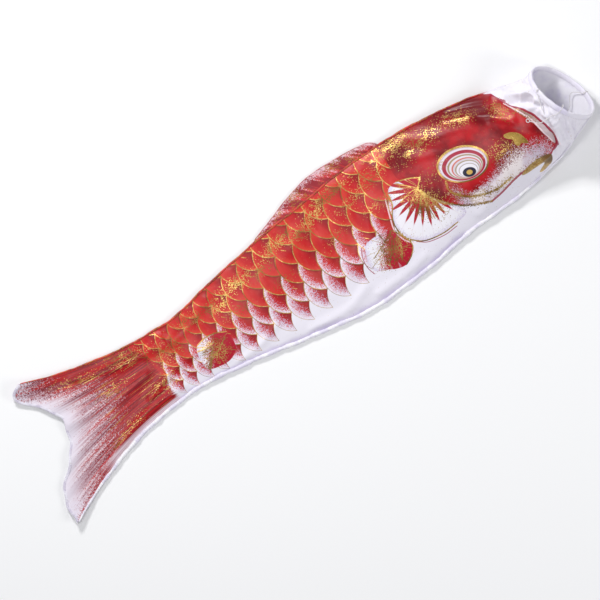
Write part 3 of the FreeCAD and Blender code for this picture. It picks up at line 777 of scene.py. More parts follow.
class Effects:
    """The shader groups that the finishes share, each built once, when it is first asked for."""

    @cached_property
    def weave(self) -> bpy.types.NodeTree:
        """Satin's fine long threads: height and tone from a place in metres."""
        w, takes, end = new_group("satin_weave", {"Place": None, "Threads": 2600.0}, ("Height", "Tone"))
        x, y, z = w.split(takes["Place"])
        warp = w.math("SINE", w.times(w.add(y, w.times(x, 0.21)), w.times(takes["Threads"], 2.2)))
        weft = w.math("SINE", w.times(w.add(x, z), takes["Threads"]))
        slub = w.noise(w.scaled(takes["Place"], (60.0, 900.0, 300.0)), 1.0, 3.0, 0.6)
        height = w.add(w.times(warp, 0.35), w.add(w.times(weft, 0.2), w.times(slub, 1.1)))
        w.feed(end.inputs["Height"], height)
        w.feed(end.inputs["Tone"], slub)
        return w.tree

    @cached_property
    def puckers(self) -> bpy.types.NodeTree:
        """Small soft puckers of handled cloth: height from a place in metres."""
        w, takes, end = new_group("cloth_puckers", {"Place": None, "Size": 1.0}, ("Height",))
        broad = w.noise(w.scaled(takes["Place"], (22.0, 34.0, 30.0)), 1.0, 2.0, 0.45)
        sharp = w.noise(w.scaled(takes["Place"], (70.0, 46.0, 60.0)), 1.0, 3.0, 0.5)
        ridge = w.math("ABSOLUTE", w.minus(sharp, 0.5))
        w.feed(end.inputs["Height"], w.times(w.add(broad, w.times(ridge, -0.7)), takes["Size"]))
        return w.tree

    @cached_property
    def spray(self) -> bpy.types.NodeTree:
        """Fine specks of sprayed dye, even from -0.5 to 0.5, from a place in metres."""
        w, takes, end = new_group("dye_spray", {"Place": None, "Grain": 1400.0}, ("Speck",))
        cells = w.node("ShaderNodeTexVoronoi", voronoi_dimensions="2D")
        w.feed(cells.inputs["Vector"], takes["Place"])
        w.feed(cells.inputs["Scale"], takes["Grain"])
        drift = w.noise(takes["Place"], 260.0, 2.0, 0.6)
        fine = w.times(w.minus(w.split(cells.outputs["Color"])[0], 0.5), 0.85)
        w.feed(end.inputs["Speck"], w.add(fine, w.times(w.minus(drift, 0.5), 0.9)))
        return w.tree

    @cached_property
    def glitter(self) -> bpy.types.NodeTree:
        """Specks of gold: a mask and a tone from a place in metres and how densely they lie."""
        takes_of = {"Place": None, "Density": 0.5, "Grain": 560.0}
        w, takes, end = new_group("gold_glitter", takes_of, ("Mask", "Tone"))
        cells = w.node("ShaderNodeTexVoronoi", voronoi_dimensions="2D")
        w.feed(cells.inputs["Vector"], takes["Place"])
        w.feed(cells.inputs["Scale"], takes["Grain"])
        drift = w.noise(takes["Place"], 150.0, 4.0, 0.65)
        tone = w.split(cells.outputs["Color"])[0]
        swing = w.times(w.least(takes["Density"], 0.6), 2.8)
        amount = w.add(takes["Density"], w.times(w.minus(drift, 0.5), swing))
        kept = w.rise(w.minus(w.least(w.times(amount, 0.95), 0.9), tone), -0.05, 0.05)
        speck = w.rise(w.minus(cells.outputs["Distance"], w.add(0.28, w.times(amount, 0.18))), 0.06, -0.06)
        w.feed(end.inputs["Mask"], w.times(kept, speck))
        w.feed(end.inputs["Tone"], w.split(cells.outputs["Color"])[1])
        return w.tree

    @cached_property
    def oval(self) -> bpy.types.NodeTree:
        """Distance from an oval in millimetres, negative inside, from a place in millimetres."""
        takes_of = {"Place": None, "X": 0.0, "Y": 0.0, "Turn": 0.0, "Long": 10.0, "Short": 8.0}
        w, takes, end = new_group("printed_oval", takes_of, ("Distance",))
        x, y, _ = w.split(takes["Place"])
        dx, dy = w.minus(x, takes["X"]), w.minus(y, takes["Y"])
        c, s = w.math("COSINE", takes["Turn"]), w.math("SINE", takes["Turn"])
        along = w.math("DIVIDE", w.add(w.times(dx, c), w.times(dy, s)), takes["Long"])
        across = w.math("DIVIDE", w.minus(w.times(dy, c), w.times(dx, s)), takes["Short"])
        size = w.math("SQRT", w.add(w.times(along, along), w.times(across, across)))
        w.feed(end.inputs["Distance"], w.times(w.minus(size, 1.0), w.least(takes["Long"], takes["Short"])))
        return w.tree

    @cached_property
    def stroke(self) -> bpy.types.NodeTree:
        """A printed line's mask from the field that holds its distances."""
        w, takes, end = new_group("printed_stroke", {"Field": None, "Wobble": 0.0}, ("Mask",))
        signed, far, half = w.split(takes["Field"])
        edge = w.minus(w.math("ABSOLUTE", signed), w.add(half, takes["Wobble"]))
        near = w.rise(w.minus(far, half), 1.6, 0.8)
        w.feed(end.inputs["Mask"], w.times(w.rise(edge, 0.25, -0.25), near))
        return w.tree

    @cached_property
    def rays(self) -> bpy.types.NodeTree:
        """Fin rays that fan out from a place: a crimson mask, and a gold one for the thin rays between."""
        takes_of = {"Place": None, "X": 0.0, "Y": 0.0, "Count": 24.0, "Reach": 50.0, "Phase": 0.0}
        w, takes, end = new_group("fin_rays", takes_of, ("Crimson", "Gold"))
        x, y, _ = w.split(takes["Place"])
        dx, dy = w.minus(x, takes["X"]), w.minus(y, takes["Y"])
        far = w.math("SQRT", w.add(w.times(dx, dx), w.times(dy, dy)))
        angle = w.math("ARCTAN2", dy, dx)
        turn = w.add(w.times(angle, takes["Count"]), takes["Phase"])
        comb = w.add(0.5, w.times(w.math("COSINE", turn), 0.5))
        uneven = w.noise(w.joined(w.times(angle, 2.3), 0.0), 1.6, 1.0)
        share = w.math("DIVIDE", far, w.times(takes["Reach"], w.add(0.75, w.times(uneven, 0.5))))
        worn = w.times(w.rise(share, 0.4, 1.1), 1.15)
        w.feed(end.inputs["Crimson"], w.rise(w.minus(w.add(comb, 0.1), worn), -0.08, 0.08))
        thin = w.add(0.5, w.times(w.math("COSINE", w.add(w.times(turn, 0.5), w.times(uneven, 11.0))), 0.5))
        w.feed(end.inputs["Gold"], w.times(w.rise(thin, 0.965, 0.985), w.rise(share, 0.85, 0.6)))
        return w.tree

    @cached_property
    def scales(self) -> bpy.types.NodeTree:
        """Overlapping scales from a place in millimetres.

        Returns:
            A group that gives the distance to the nearest scale's edge, the depth inside the scale that
            shows, the height beside its tip, its tip's height on the body and its shade.
        """
        gives = ("Edge", "Depth", "Beside", "Tip", "Shade")
        w, takes, end = new_group("fish_scales", {"Place": None, "Pitch": 33.0}, gives)
        row_high, lean, middle_x, middle_y, round_ = 28.6, 9.5, 34.52, 4.41, 34.8
        first_x, first_y = 114.1, 73.3
        x, y, _ = w.split(takes["Place"])
        beta = w.math("DIVIDE", w.minus(first_y, y), row_high)
        row = w.math("FLOOR", beta)
        part = w.minus(beta, row)
        along = w.add(w.minus(x, first_x), w.times(row, lean))

        def arc(beside: object, shift: float) -> tuple:
            """Distance past an arc along the row, the slope of the arc there, and the arc's number."""
            rel = w.minus(beside, middle_y)
            chord = w.math("SQRT", w.minus(round_**2, w.times(rel, rel)))
            past = w.minus(w.add(along, shift), w.minus(middle_x, chord))
            number = w.math("FLOOR", w.math("DIVIDE", past, takes["Pitch"]))
            return w.minus(past, w.times(number, takes["Pitch"])), w.math("DIVIDE", chord, round_), number

        low_side = w.times(part, -row_high)
        high_side = w.times(w.minus(1.0, part), row_high)
        low, low_slope, low_number = arc(low_side, 0.0)
        high, high_slope, high_number = arc(high_side, lean)
        is_low = w.math("LESS_THAN", low, high)
        low_ahead = w.times(w.minus(takes["Pitch"], low), low_slope)
        high_ahead = w.times(w.minus(takes["Pitch"], high), high_slope)
        ahead = w.least(low_ahead, high_ahead)
        behind = w.least(w.times(low, low_slope), w.times(high, high_slope))
        tip_row = w.add(row, w.minus(1.0, is_low))
        number = w.pick(is_low, high_number, low_number)
        random = w.node("ShaderNodeTexWhiteNoise", noise_dimensions="2D")
        w.feed(random.inputs["Vector"], w.joined(w.add(number, 0.5), w.add(tip_row, 0.5)))
        w.feed(end.inputs["Edge"], w.least(ahead, behind))
        w.feed(end.inputs["Depth"], w.pick(is_low, w.times(high, high_slope), w.times(low, low_slope)))
        w.feed(end.inputs["Beside"], w.pick(is_low, high_side, low_side))
        w.feed(end.inputs["Tip"], w.minus(first_y, w.times(tip_row, row_high)))
        w.feed(end.inputs["Shade"], random.outputs["Value"])
        return w.tree


EFFECTS = Effects()
WHITE = ink(236, 232, 242)
RED = ink(190, 16, 24)
CRIMSON = ink(126, 6, 22)
ORANGE = ink(216, 66, 42)
GOLD = ink(168, 126, 58)
# The next two are the gold as it looks lit and as it looks in shade: a painted highlight and a painted shade.
LIT_GOLD = ink(216, 184, 108)
SHADED_GOLD = ink(122, 92, 42)


def new_material(
    name: str, roughness: float, **constants: float
) -> tuple[bpy.types.Material, Wiring, bpy.types.Node]:
    """A material with one Principled shader.

    Args:
        name: the finish's name.
        roughness: starting roughness.
        constants: other sockets of the shader that are the same all over, underscores for spaces.

    Returns:
        The material, its wiring and the shader node.
    """
    material = bpy.data.materials.new(name)
    material.use_nodes = True
    shader = material.node_tree.nodes["Principled BSDF"]
    shader.inputs["Roughness"].default_value = roughness
    for key, value in constants.items():
        shader.inputs[key.replace("_", " ")].default_value = value
    return material, Wiring(material.node_tree), shader


def raise_surface(
    w: Wiring, shader: bpy.types.Node, height: object, depth: float, strength: float = 1.0
) -> None:
    """Feed a height, in shares of a depth in metres, to the shader's normal."""
    bump = w.node("ShaderNodeBump")
    bump.inputs["Strength"].default_value = strength
    bump.inputs["Distance"].default_value = depth
    w.feed(bump.inputs["Height"], height)
    w.feed(shader.inputs["Normal"], bump.outputs[0])


def gild(
    w: Wiring, shader: bpy.types.Node, place: object, density: object, colour: bpy.types.NodeSocket
) -> None:
    """Feed a dye to the shader with gold glitter scattered over it.

    Args:
        w: the material's wiring.
        shader: its Principled shader.
        place: where the surface is, in metres.
        density: how thick the glitter lies, from 0 to about 1.
        colour: the dye under it.
    """
    glitter = w.group(EFFECTS.glitter, Place=place, Density=density)
    w.feed(shader.inputs["Base Color"], w.mix(glitter.outputs["Mask"], colour, GOLD))
    w.feed(shader.inputs["Metallic"], w.times(glitter.outputs["Mask"], 0.85))


# Rings of the eye, from the outermost inwards: middle, long and short half width in millimetres, and dye
EYE_RINGS = (
    (282.0, -4.0, 39.5, 27.4, GOLD),
    (282.0, -4.4, 37.4, 25.6, ink(196, 176, 186)),
    (282.0, -5.0, 35.4, 24.2, ink(226, 216, 228)),
    (282.2, -6.4, 33.0, 22.6, ink(166, 22, 56)),
    (282.4, -8.0, 28.0, 19.0, ink(222, 206, 214)),
    (282.6, -9.0, 26.6, 18.0, ink(160, 140, 100)),
    (282.8, -9.8, 24.6, 16.6, ink(226, 218, 228)),
    (283.2, -11.6, 22.4, 15.4, ink(206, 110, 98)),
    (283.4, -12.4, 20.6, 14.2, ink(214, 204, 214)),
    (283.6, -13.6, 18.6, 12.8, ink(168, 150, 122)),
    (283.8, -14.4, 17.0, 11.8, ink(232, 226, 236)),
    (283.8, -15.8, 14.4, 10.0, ink(176, 164, 160)),
    (283.8, -16.4, 13.4, 9.3, ink(238, 234, 242)),
    (283.4, -19.6, 10.2, 7.2, ink(24, 22, 52)),
    (283.4, -19.9, 4.6, 3.6, ink(206, 168, 84)),
)
EYE_TURN = math.radians(-23)


@dataclass(frozen=True)
class PrintedFin:
    """A fin of the print.

    Its outline's number, its root, its count of rays and how far they reach, in millimetres, and whether
    one half of it is dyed all over.
    """

    number: int
    root: tuple[float, float]
    rays: float
    reach: float
    shaded: bool


PRINTED_FINS = {
    Half.FRONT: (
        PrintedFin(0, (212.0, 0.0), 26.0, 54.0, shaded=False),
        PrintedFin(1, (122.0, -40.0), 17.0, 60.0, shaded=True),
    ),
    Half.REAR: (PrintedFin(0, (-180.0, -14.0), 15.0, 60.0, shaded=True),),
}


class PrintedSatin:
    """Dyed satin of the body, with gold print over the dye.

    The print is laid layer on layer. Each layer covers the colour so far and adds its gold to the gold so far.
    """

    roughness = 0.34
    gold_roughness = 0.30
    line_edge = 0.35

    def __init__(self, half: Half) -> None:
        """Start the material, with the places and noises that its layers read.

        Args:
            half: front or rear of the streamer.
        """
        satin = {
            "Sheen_Weight": 0.05, "Sheen_Roughness": 0.3, "Specular_IOR_Level": 0.28, "Anisotropic": 0.35,
        }
        name = f"printed_satin_{half.value}"
        self.material, self.w, self.shader = new_material(name, self.roughness, **satin)
        self.half = half
        self.metres = self.w.uv("plan")
        self.place = self.w.scaled(self.metres, (1000.0, 1000.0, 0.0))
        self.x, self.y, _ = self.w.split(self.place)
        self.speck = self.w.group(EFFECTS.spray, Place=self.metres).outputs[0]
        self.cloud = self.w.noise(self.metres, 22.0, 3.0, 0.5)
        self.colour, self.gold = WHITE, 0.0

    def build(self) -> bpy.types.Material:
        """The finished material."""
        w = self.w
        self.lay_scales()
        if self.half is Half.FRONT:
            self.lay_face()
        else:
            self.lay_tail()
        for fin in PRINTED_FINS[self.half]:
            self.lay_fin(fin)
        for lines, share, dye in (("crimson", 0.9, ink(160, 28, 62)), ("white", 0.75, ink(250, 226, 232))):
            mask = w.group(EFFECTS.stroke, Field=self.field(f"{lines}_lines")).outputs[0]
            self.colour = w.mix(w.times(mask, share), self.colour, dye)
        if self.half is Half.FRONT:
            self.lay_eye()
        self.lay_gold_lines()
        glitter = w.group(EFFECTS.glitter, Place=self.metres, Density=w.field("glitter").outputs["Fac"])
        self.gold = w.most(self.gold, glitter.outputs["Mask"])
        # Some gold specks are turned pale at random as a painted glint, and cloudy patches are turned olive as
        # painted shade.
        foil = w.mix(glitter.outputs["Tone"], GOLD, LIT_GOLD)
        foil = w.mix(w.rise(self.cloud, 0.44, 0.62), foil, SHADED_GOLD)
        w.feed(self.shader.inputs["Base Color"], w.mix(self.gold, self.colour, foil))
        w.feed(self.shader.inputs["Metallic"], w.times(self.gold, 0.6))
        self.finish_surface()
        return self.material

    def stipple(self, distance: object, reach: float) -> bpy.types.NodeSocket:
        """A sprayed edge: 1 well inside, 0 well outside, and specks between."""
        return self.w.rise(self.w.add(self.w.times(distance, 1 / reach), self.speck), -0.2, 0.2)

    def field(self, name: str) -> bpy.types.NodeSocket:
        """A field of three numbers that the cloth carries."""
        return self.w.field(name).outputs["Vector"]

    def oval(self, x: float, y: float, long: float, short: float) -> bpy.types.NodeSocket:
        """Distance from an oval round the eye."""
        group = self.w.group(EFFECTS.oval, Place=self.place, X=x, Y=y, Turn=EYE_TURN, Long=long, Short=short)
        return group.outputs[0]

    def lay_scales(self) -> None:
        """White belly, darkened along its seam by painted shade over a faint lavender tint, and red scales
        with gold edges.
        """
        w, speck, cloud = self.w, self.speck, self.cloud
        lattice = w.group(EFFECTS.scales, Place=w.scaled(w.uv("scales"), (1000.0, 1000.0, 0.0)))
        given = ("Edge", "Depth", "Beside", "Tip", "Shade")
        edge, depth, beside, tip, shade = (lattice.outputs[key] for key in given)
        lowest_tip = w.add(-56.0, w.times(w.rise(self.x, 70.0, 170.0), 26.0))
        shows = w.rise(w.minus(tip, lowest_tip), -1.0, 1.0)
        glow = w.rise(w.add(depth, w.times(speck, 2.5)), 10.0, 0.0)
        dark = w.rise(w.add(depth, w.times(cloud, 10.0)), 15.0, 31.0)
        red = w.mix(w.times(glow, w.add(0.35, w.times(shade, 0.5))), RED, ORANGE)
        red = w.mix(w.times(dark, 0.75), red, CRIMSON)
        red = w.mix(w.times(w.rise(cloud, 0.42, 0.62), 0.25), red, ink(232, 74, 60))
        paleness = w.rise(tip, 20.0, -48.0)
        corner = w.minus(w.times(paleness, 9.5), w.add(w.times(depth, 0.85), w.times(beside, 0.05)))
        sprayed = w.rise(w.add(speck, w.times(depth, 0.03)), -0.2, 0.9)
        pale = w.mix(sprayed, ink(242, 234, 244), ink(206, 186, 212))
        scale = w.mix(w.times(self.stipple(corner, 18.0), w.rise(paleness, 0.12, 0.45)), red, pale)
        across = w.split(w.uv("tail"))[1]
        # Painted shade: the belly turns lavender and darker towards its seam, where the cloth curves down away
        # from the light, over a faint lavender tint.
        seam_shade = w.rise(w.add(across, w.times(w.minus(cloud, 0.5), 0.12)), 0.085, 0.0)
        belly = w.mix(w.times(seam_shade, 0.9), WHITE, ink(190, 180, 210))
        self.colour = w.mix(shows, belly, scale)
        line_here = w.times(shows, self.off_tail_and_fins())
        line = w.rise(w.add(edge, w.times(speck, 0.25)), 0.85, 0.35)
        slant = w.math("ABSOLUTE", w.add(w.minus(depth, 15.0), w.times(beside, 0.8)))
        beside_tip = w.rise(w.math("ABSOLUTE", beside), 3.2, 2.6)
        dash = w.times(w.rise(slant, 0.9, 0.4), w.times(beside_tip, w.rise(shade, 0.78, 0.82)))
        self.gold = w.times(w.most(line, dash), line_here)
        shadow = w.times(w.times(w.rise(edge, 3.6, 0.8), w.rise(depth, 9.0, 14.0)), line_here)
        self.colour = w.mix(w.times(shadow, 0.55), self.colour, ink(112, 8, 24))

    def off_tail_and_fins(self) -> bpy.types.NodeSocket:
        """Where the scales' gold lines may lie: clear of the tail, the head and the printed fins."""
        w = self.w
        tail_line = w.add(self.x, w.add(272.0, w.times(self.y, 0.3)))
        here = w.rise(tail_line, -4.0, 6.0)
        if self.half is Half.FRONT:
            head = w.split(self.field("face_outlines"))[0]
            here = w.times(w.times(here, w.rise(head, 3.0, -3.0)), w.rise(self.x, 262.0, 250.0))
        outlines = w.split(self.field("fin_outlines"))
        for fin in PRINTED_FINS[self.half]:
            here = w.times(here, w.rise(outlines[fin.number], 1.0, -1.0))
        return here

    def lay_tail(self) -> None:
        """Rays that run out from the tail's root and thin away towards the fork."""
        w = self.w
        along, across, _ = w.split(w.uv("tail"))
        comb = w.noise(w.joined(w.times(across, 26.0), w.times(along, 1.1)), 1.0, 3.0, 0.6)
        fine = w.noise(w.joined(w.times(across, 70.0), w.times(along, 2.0)), 1.0, 2.0, 0.6)
        rim = w.rise(w.math("ABSOLUTE", w.minus(across, 0.47)), 0.30, 0.5)
        reach = w.add(w.add(0.64, w.times(rim, 0.26)), w.times(w.minus(comb, 0.5), 0.7))
        red_here = self.stipple(w.times(w.minus(reach, along), 34.0), 16.0)
        vein = w.noise(w.joined(w.times(across, 48.0), w.times(along, 0.8)), 1.0, 1.0, 0.5)
        vein_here = w.times(w.rise(vein, 0.565, 0.60), w.rise(w.add(along, w.times(vein, 0.3)), 1.12, 0.85))
        red_here = w.most(red_here, w.times(vein_here, 0.85))
        selvedge = w.most(w.rise(across, 0.07, 0.10), w.rise(along, 0.55, 0.72))
        red_here = w.times(red_here, selvedge)
        deep = w.mix(w.rise(fine, 0.42, 0.6), ink(180, 22, 28), ink(124, 10, 24))
        pale = w.mix(w.rise(fine, 0.4, 0.62), ink(222, 204, 212), ink(188, 150, 162))
        pale = w.mix(w.rise(along, 0.78, 1.0), pale, ink(228, 220, 232))
        here = w.rise(w.add(along, w.times(w.minus(fine, 0.5), 0.12)), -0.01, 0.04)
        self.colour = w.mix(here, self.colour, w.mix(red_here, pale, deep))
        dashes = w.noise(w.joined(w.times(across, 74.0), w.times(along, 3.0)), 1.0, 1.0)
        reaches = w.times(w.rise(along, 0.66, 0.5), w.rise(along, 0.04, 0.14))
        gold = w.times(w.rise(dashes, 0.655, 0.675), reaches)
        self.gold = w.most(self.gold, w.times(w.times(gold, here), 0.9))

    def lay_face(self) -> None:
        """The head's red, its cheek, lips, leaf mark and mouth corner, and the white throat before it."""
        w, x, y, speck, cloud = self.w, self.x, self.y, self.speck, self.cloud
        head, cheek, leaf = w.split(self.field("face_outlines"))
        lips, corner, _ = w.split(self.field("mouth_outlines"))
        worn = w.rise(w.add(cloud, w.times(speck, 0.05)), 0.36, 0.68)
        skin = w.mix(worn, ink(112, 6, 18), ink(190, 20, 30))
        skin = w.mix(w.times(w.rise(y, 20.0, 90.0), 0.35), skin, ink(120, 10, 26))
        up_the_lips = w.rise(w.add(y, w.times(speck, 22.0)), -34.0, 30.0)
        lip_tone = w.mix(up_the_lips, ink(206, 186, 190), ink(150, 104, 78))
        skin = w.mix(w.rise(lips, -0.4, 0.4), skin, lip_tone)
        mottle = w.rise(w.add(cloud, w.times(speck, 0.10)), 0.34, 0.68)
        pale = w.mix(mottle, ink(242, 232, 232), ink(204, 190, 208))
        band = w.times(w.rise(y, -42.0, -54.0), w.times(w.rise(x, 352.0, 322.0), 14.0))
        cheek_here = self.stipple(w.add(w.minus(cheek, 4.0), band), 30.0)
        skin = w.mix(w.times(cheek_here, w.rise(lips, 0.4, -0.4)), skin, pale)
        white_front = w.rise(x, 345.0, 380.0)
        outside = w.mix(white_front, self.colour, WHITE)
        below = w.rise(w.add(w.times(y, -1.0), w.times(w.rise(x, 200.0, 300.0), 8.0)), 46.0, 50.0)
        outside = w.mix(w.times(w.rise(x, 222.0, 232.0), w.most(below, white_front)), outside, WHITE)
        self.colour = w.mix(w.rise(head, -0.6, 0.6), outside, skin)
        leaf_here = w.rise(leaf, -0.4, 0.4)
        self.colour = w.mix(leaf_here, self.colour, ink(176, 142, 66))
        corner_gold = w.times(w.rise(corner, -0.5, 0.5), 0.9)
        leaf_gold = w.times(w.times(leaf_here, w.rise(w.add(speck, cloud), 0.2, 0.6)), 0.8)
        self.gold = w.most(self.gold, w.most(corner_gold, leaf_gold))

    def lay_fin(self, fin: PrintedFin) -> None:
        """A printed fin: a white field with a sprayed rim, crimson rays and gold between them."""
        w = self.w
        outline = w.split(self.field("fin_outlines"))[fin.number]
        root_x, root_y = fin.root
        here = w.rise(outline, -0.5, 0.5)
        rays = w.group(EFFECTS.rays, Place=self.place, X=root_x, Y=root_y, Count=fin.rays, Reach=fin.reach)
        rim = self.stipple(w.minus(4.0, outline), 9.0)
        fill = w.mix(w.times(rim, 0.7), ink(240, 237, 244), ink(206, 194, 222))
        crimson = rays.outputs["Crimson"]
        if fin.shaded:
            lean = w.minus(w.times(w.minus(self.x, root_x), 0.8), w.times(w.minus(self.y, root_y), 0.5))
            dyed = w.most(w.most(crimson, 0.75), w.rise(lean, 12.0, 18.0))
            crimson = w.times(self.stipple(w.add(lean, 9.0), 20.0), dyed)
        self.colour = w.mix(here, self.colour, w.mix(crimson, fill, ink(176, 18, 44)))
        self.gold = w.most(self.gold, w.times(w.times(here, rays.outputs["Gold"]), 0.9))

    def lay_eye(self) -> None:
        """The eye's rings, set a little closer together below, and a gold line round them."""
        w = self.w
        for x, y, long, short, dye in EYE_RINGS:
            ring = w.rise(self.oval(x, y, long, short), self.line_edge, -self.line_edge)
            self.colour = w.mix(ring, self.colour, dye)
        outline = self.oval(*EYE_RINGS[0][:4])
        inner = self.oval(282.0, -4.4, 36.6, 24.8)
        rim = w.times(
            w.rise(outline, self.line_edge, -self.line_edge), w.rise(inner, -self.line_edge, self.line_edge)
        )
        outside = w.rise(outline, -self.line_edge, self.line_edge)
        self.gold = w.most(w.times(self.gold, outside), w.times(rim, 0.9))

    def lay_gold_lines(self) -> None:
        """Lines of gold, the broad ones with a rougher edge."""
        w = self.w
        lines = self.field("gold_lines")
        broad = w.rise(w.split(lines)[2], 0.9, 1.2)
        wobble = w.times(self.speck, w.pick(broad, 0.35, 3.4))
        self.gold = w.most(self.gold, w.group(EFFECTS.stroke, Field=lines, Wobble=wobble).outputs[0])

    def finish_surface(self) -> None:
        """Roughness and relief: satin's threads, soft puckers and the gold standing a little proud."""
        w = self.w
        weave = w.group(EFFECTS.weave, Place=self.metres)
        rough = w.add(self.roughness - 0.06, w.times(weave.outputs["Tone"], 0.12))
        w.feed(self.shader.inputs["Roughness"], w.pick(self.gold, rough, self.gold_roughness))
        puckers = w.group(EFFECTS.puckers, Place=w.object_place()).outputs[0]
        print_relief = w.add(w.times(weave.outputs["Height"], 0.035), w.times(self.gold, 0.05))
        raise_surface(w, self.shader, w.add(puckers, print_relief), 0.0016, 0.55)


@dataclass(frozen=True)
class WhiteSatin:
    """Undyed satin: the inside, the hems and the belly's rolled edge."""

    name: str = "white_satin"
    dye: tuple = WHITE
    shade: tuple = ink(226, 220, 240)

    def build(self) -> bpy.types.Material:
        """The finished material."""
        satin = {"Sheen_Weight": 0.3, "Sheen_Roughness": 0.35, "Anisotropic": 0.3}
        material, w, shader = new_material(self.name, 0.32, **satin)
        place = w.object_place()
        cloud = w.noise(place, 30.0, 3.0, 0.5)
        weave = w.group(EFFECTS.weave, Place=place)
        w.feed(shader.inputs["Base Color"], w.mix(w.rise(cloud, 0.42, 0.72), self.dye, self.shade))
        w.feed(shader.inputs["Roughness"], w.add(0.27, w.times(weave.outputs["Tone"], 0.12)))
        puckers = w.group(EFFECTS.puckers, Place=place, Size=1.2)
        height = w.add(puckers.outputs[0], w.times(weave.outputs["Height"], 0.035))
        raise_surface(w, shader, height, 0.0016, 0.6)
        return material


@dataclass(frozen=True)
class RolledEdge:
    """Sewn and rolled edge of printed cloth: dye with specks of gold, and a stitch every few millimetres."""

    name: str
    dye: tuple
    deep: tuple
    gold: float
    stitch: float = 3.0

    def build(self) -> bpy.types.Material:
        """The finished material."""
        material, w, shader = new_material(self.name, 0.42, Sheen_Weight=0.25, Sheen_Roughness=0.35)
        roll = w.uv("roll")
        along, _, _ = w.split(roll)
        cloud = w.noise(w.object_place(), 60.0, 3.0, 0.6)
        phase = w.math("FRACT", w.times(along, 1000.0 / self.stitch))
        pull = w.math("ABSOLUTE", w.minus(phase, 0.5))
        colour = w.mix(w.rise(cloud, 0.38, 0.62), self.deep, self.dye)
        throat = w.rise(w.split(w.object_place())[0], 0.362, 0.378)
        colour = w.mix(throat, colour, WHITE)
        density = w.times(w.minus(1.0, throat), self.gold)
        gild(w, shader, w.scaled(w.object_place(), (1.0, 1.0, 0.0)), density, colour)
        height = w.add(w.times(w.rise(pull, 0.0, 0.5), -0.5), w.times(cloud, 0.8))
        raise_surface(w, shader, height, 0.0008, 0.8)
        return material


@dataclass(frozen=True)
class FinSatin:
    """Printed satin of the dorsal fin: red rays that pale towards the rim, with gold glitter."""

    name: str = "dorsal_fin_satin"

    def build(self) -> bpy.types.Material:
        """The finished material."""
        material, w, shader = new_material(self.name, 0.40, Sheen_Weight=0.25, Sheen_Roughness=0.35)
        along, across, _ = w.split(w.uv("fin"))
        metres = w.uv("plan")
        speck = w.group(EFFECTS.spray, Place=metres).outputs[0]
        slanted = w.add(w.times(along, 26.0), w.times(across, 2.6))
        comb = w.noise(w.joined(slanted, w.times(across, 0.6)), 1.0, 2.0, 0.6)
        to_rim = w.add(w.add(across, w.times(w.minus(comb, 0.5), 2.0)), w.times(speck, 0.75))
        pale_here = w.rise(to_rim, 0.70, 0.98)
        red = w.mix(w.rise(comb, 0.4, 0.62), ink(148, 14, 32), ink(212, 40, 42))
        colour = w.mix(w.times(pale_here, 0.8), red, ink(236, 214, 224))
        drift = w.rise(w.noise(metres, 30.0, 2.0), 0.42, 0.62)
        gild(w, shader, metres, w.times(drift, 0.7), colour)
        weave = w.group(EFFECTS.weave, Place=metres)
        height = w.add(w.times(comb, 0.6), w.times(weave.outputs["Height"], 0.04))
        raise_surface(w, shader, height, 0.0012, 0.6)
        return material


@dataclass(frozen=True)
class Twine:
    """White braided cord and sewing thread: fine fibres in a lay."""

    name: str
    dye: tuple = ink(243, 240, 238)
    lay: float = 1500.0

    def build(self) -> bpy.types.Material:
        """The finished material."""
        material, w, shader = new_material(self.name, 0.62, Sheen_Weight=0.4, Sheen_Roughness=0.4)
        x, y, z = w.split(w.object_place())
        twist = w.math("SINE", w.times(w.add(w.add(x, w.times(y, 0.8)), z), self.lay * 2.4))
        fibre = w.noise(w.object_place(), self.lay, 3.0, 0.7)
        tone = w.add(w.times(twist, 0.22), fibre)
        w.feed(shader.inputs["Base Color"], w.mix(w.rise(tone, 0.2, 0.9), ink(205, 200, 204), self.dye))
        w.feed(shader.inputs["Roughness"], w.add(0.5, w.times(fibre, 0.25)))
        raise_surface(w, shader, tone, 0.0003, 0.7)
        return material


@dataclass(frozen=True)
class Metal:
    """Drawn steel wire or tube with fine draw lines and a dull patch here and there."""

    name: str
    dye: tuple
    roughness: float

    def build(self) -> bpy.types.Material:
        """The finished material."""
        material, w, shader = new_material(self.name, self.roughness, Metallic=1.0)
        place = w.object_place()
        patch = w.noise(place, 90.0, 4.0, 0.6)
        lines = w.noise(w.scaled(place, (300.0, 300.0, 2600.0)), 1.0, 2.0)
        w.feed(shader.inputs["Base Color"], w.mix(w.rise(patch, 0.5, 0.7), self.dye, ink(112, 104, 98)))
        w.feed(shader.inputs["Roughness"], w.add(self.roughness, w.times(patch, 0.25)))
        raise_surface(w, shader, lines, 0.0001, 0.5)
        return material


# ----------------------------------------------------------------------------------------------
# The streamer's shape
# ----------------------------------------------------------------------------------------------


def across_share(v: np.ndarray) -> np.ndarray:
    """Share of the way across in plan, with rows set a little closer together at the two seams."""
    return 0.35 * (0.5 - 0.5 * np.cos(math.pi * v)) + 0.65 * v


def section(x: np.ndarray, v: np.ndarray, side: Side) -> np.ndarray:
    """Place on the trunk.

    Args:
        x: place along the trunk, in millimetres.
        v: share of the way from the belly seam to the back seam.
        side: which panel.

    Returns:
        Points in millimetres, one row each.
    """
    table = np.array(STATIONS)
    belly, back, seam, top = (through(table[:, 0], table[:, k], x) for k in (1, 2, 3, 4))
    share = across_share(v)
    y = belly + (back - belly) * share
    off = np.abs(2 * share - 1)
    if side is Side.NEAR:
        z = seam + (top - seam) * (1 - off**2.3) ** 0.92 + 0.15
    else:
        z = 0.6 + (seam - 0.75) * off**7
    return np.stack([x, y, z], axis=1)


def tail_edge(table: tuple, u: np.ndarray) -> np.ndarray:
    """Place on one of the tail's long edges, u from 0 at the root to 1 at the tip."""
    a, m, b = (np.array(p) for p in table)
    bend = 2 * m - (a + b) / 2
    return (1 - u)[:, None] ** 2 * a + (2 * u * (1 - u))[:, None] * bend + u[:, None] ** 2 * b


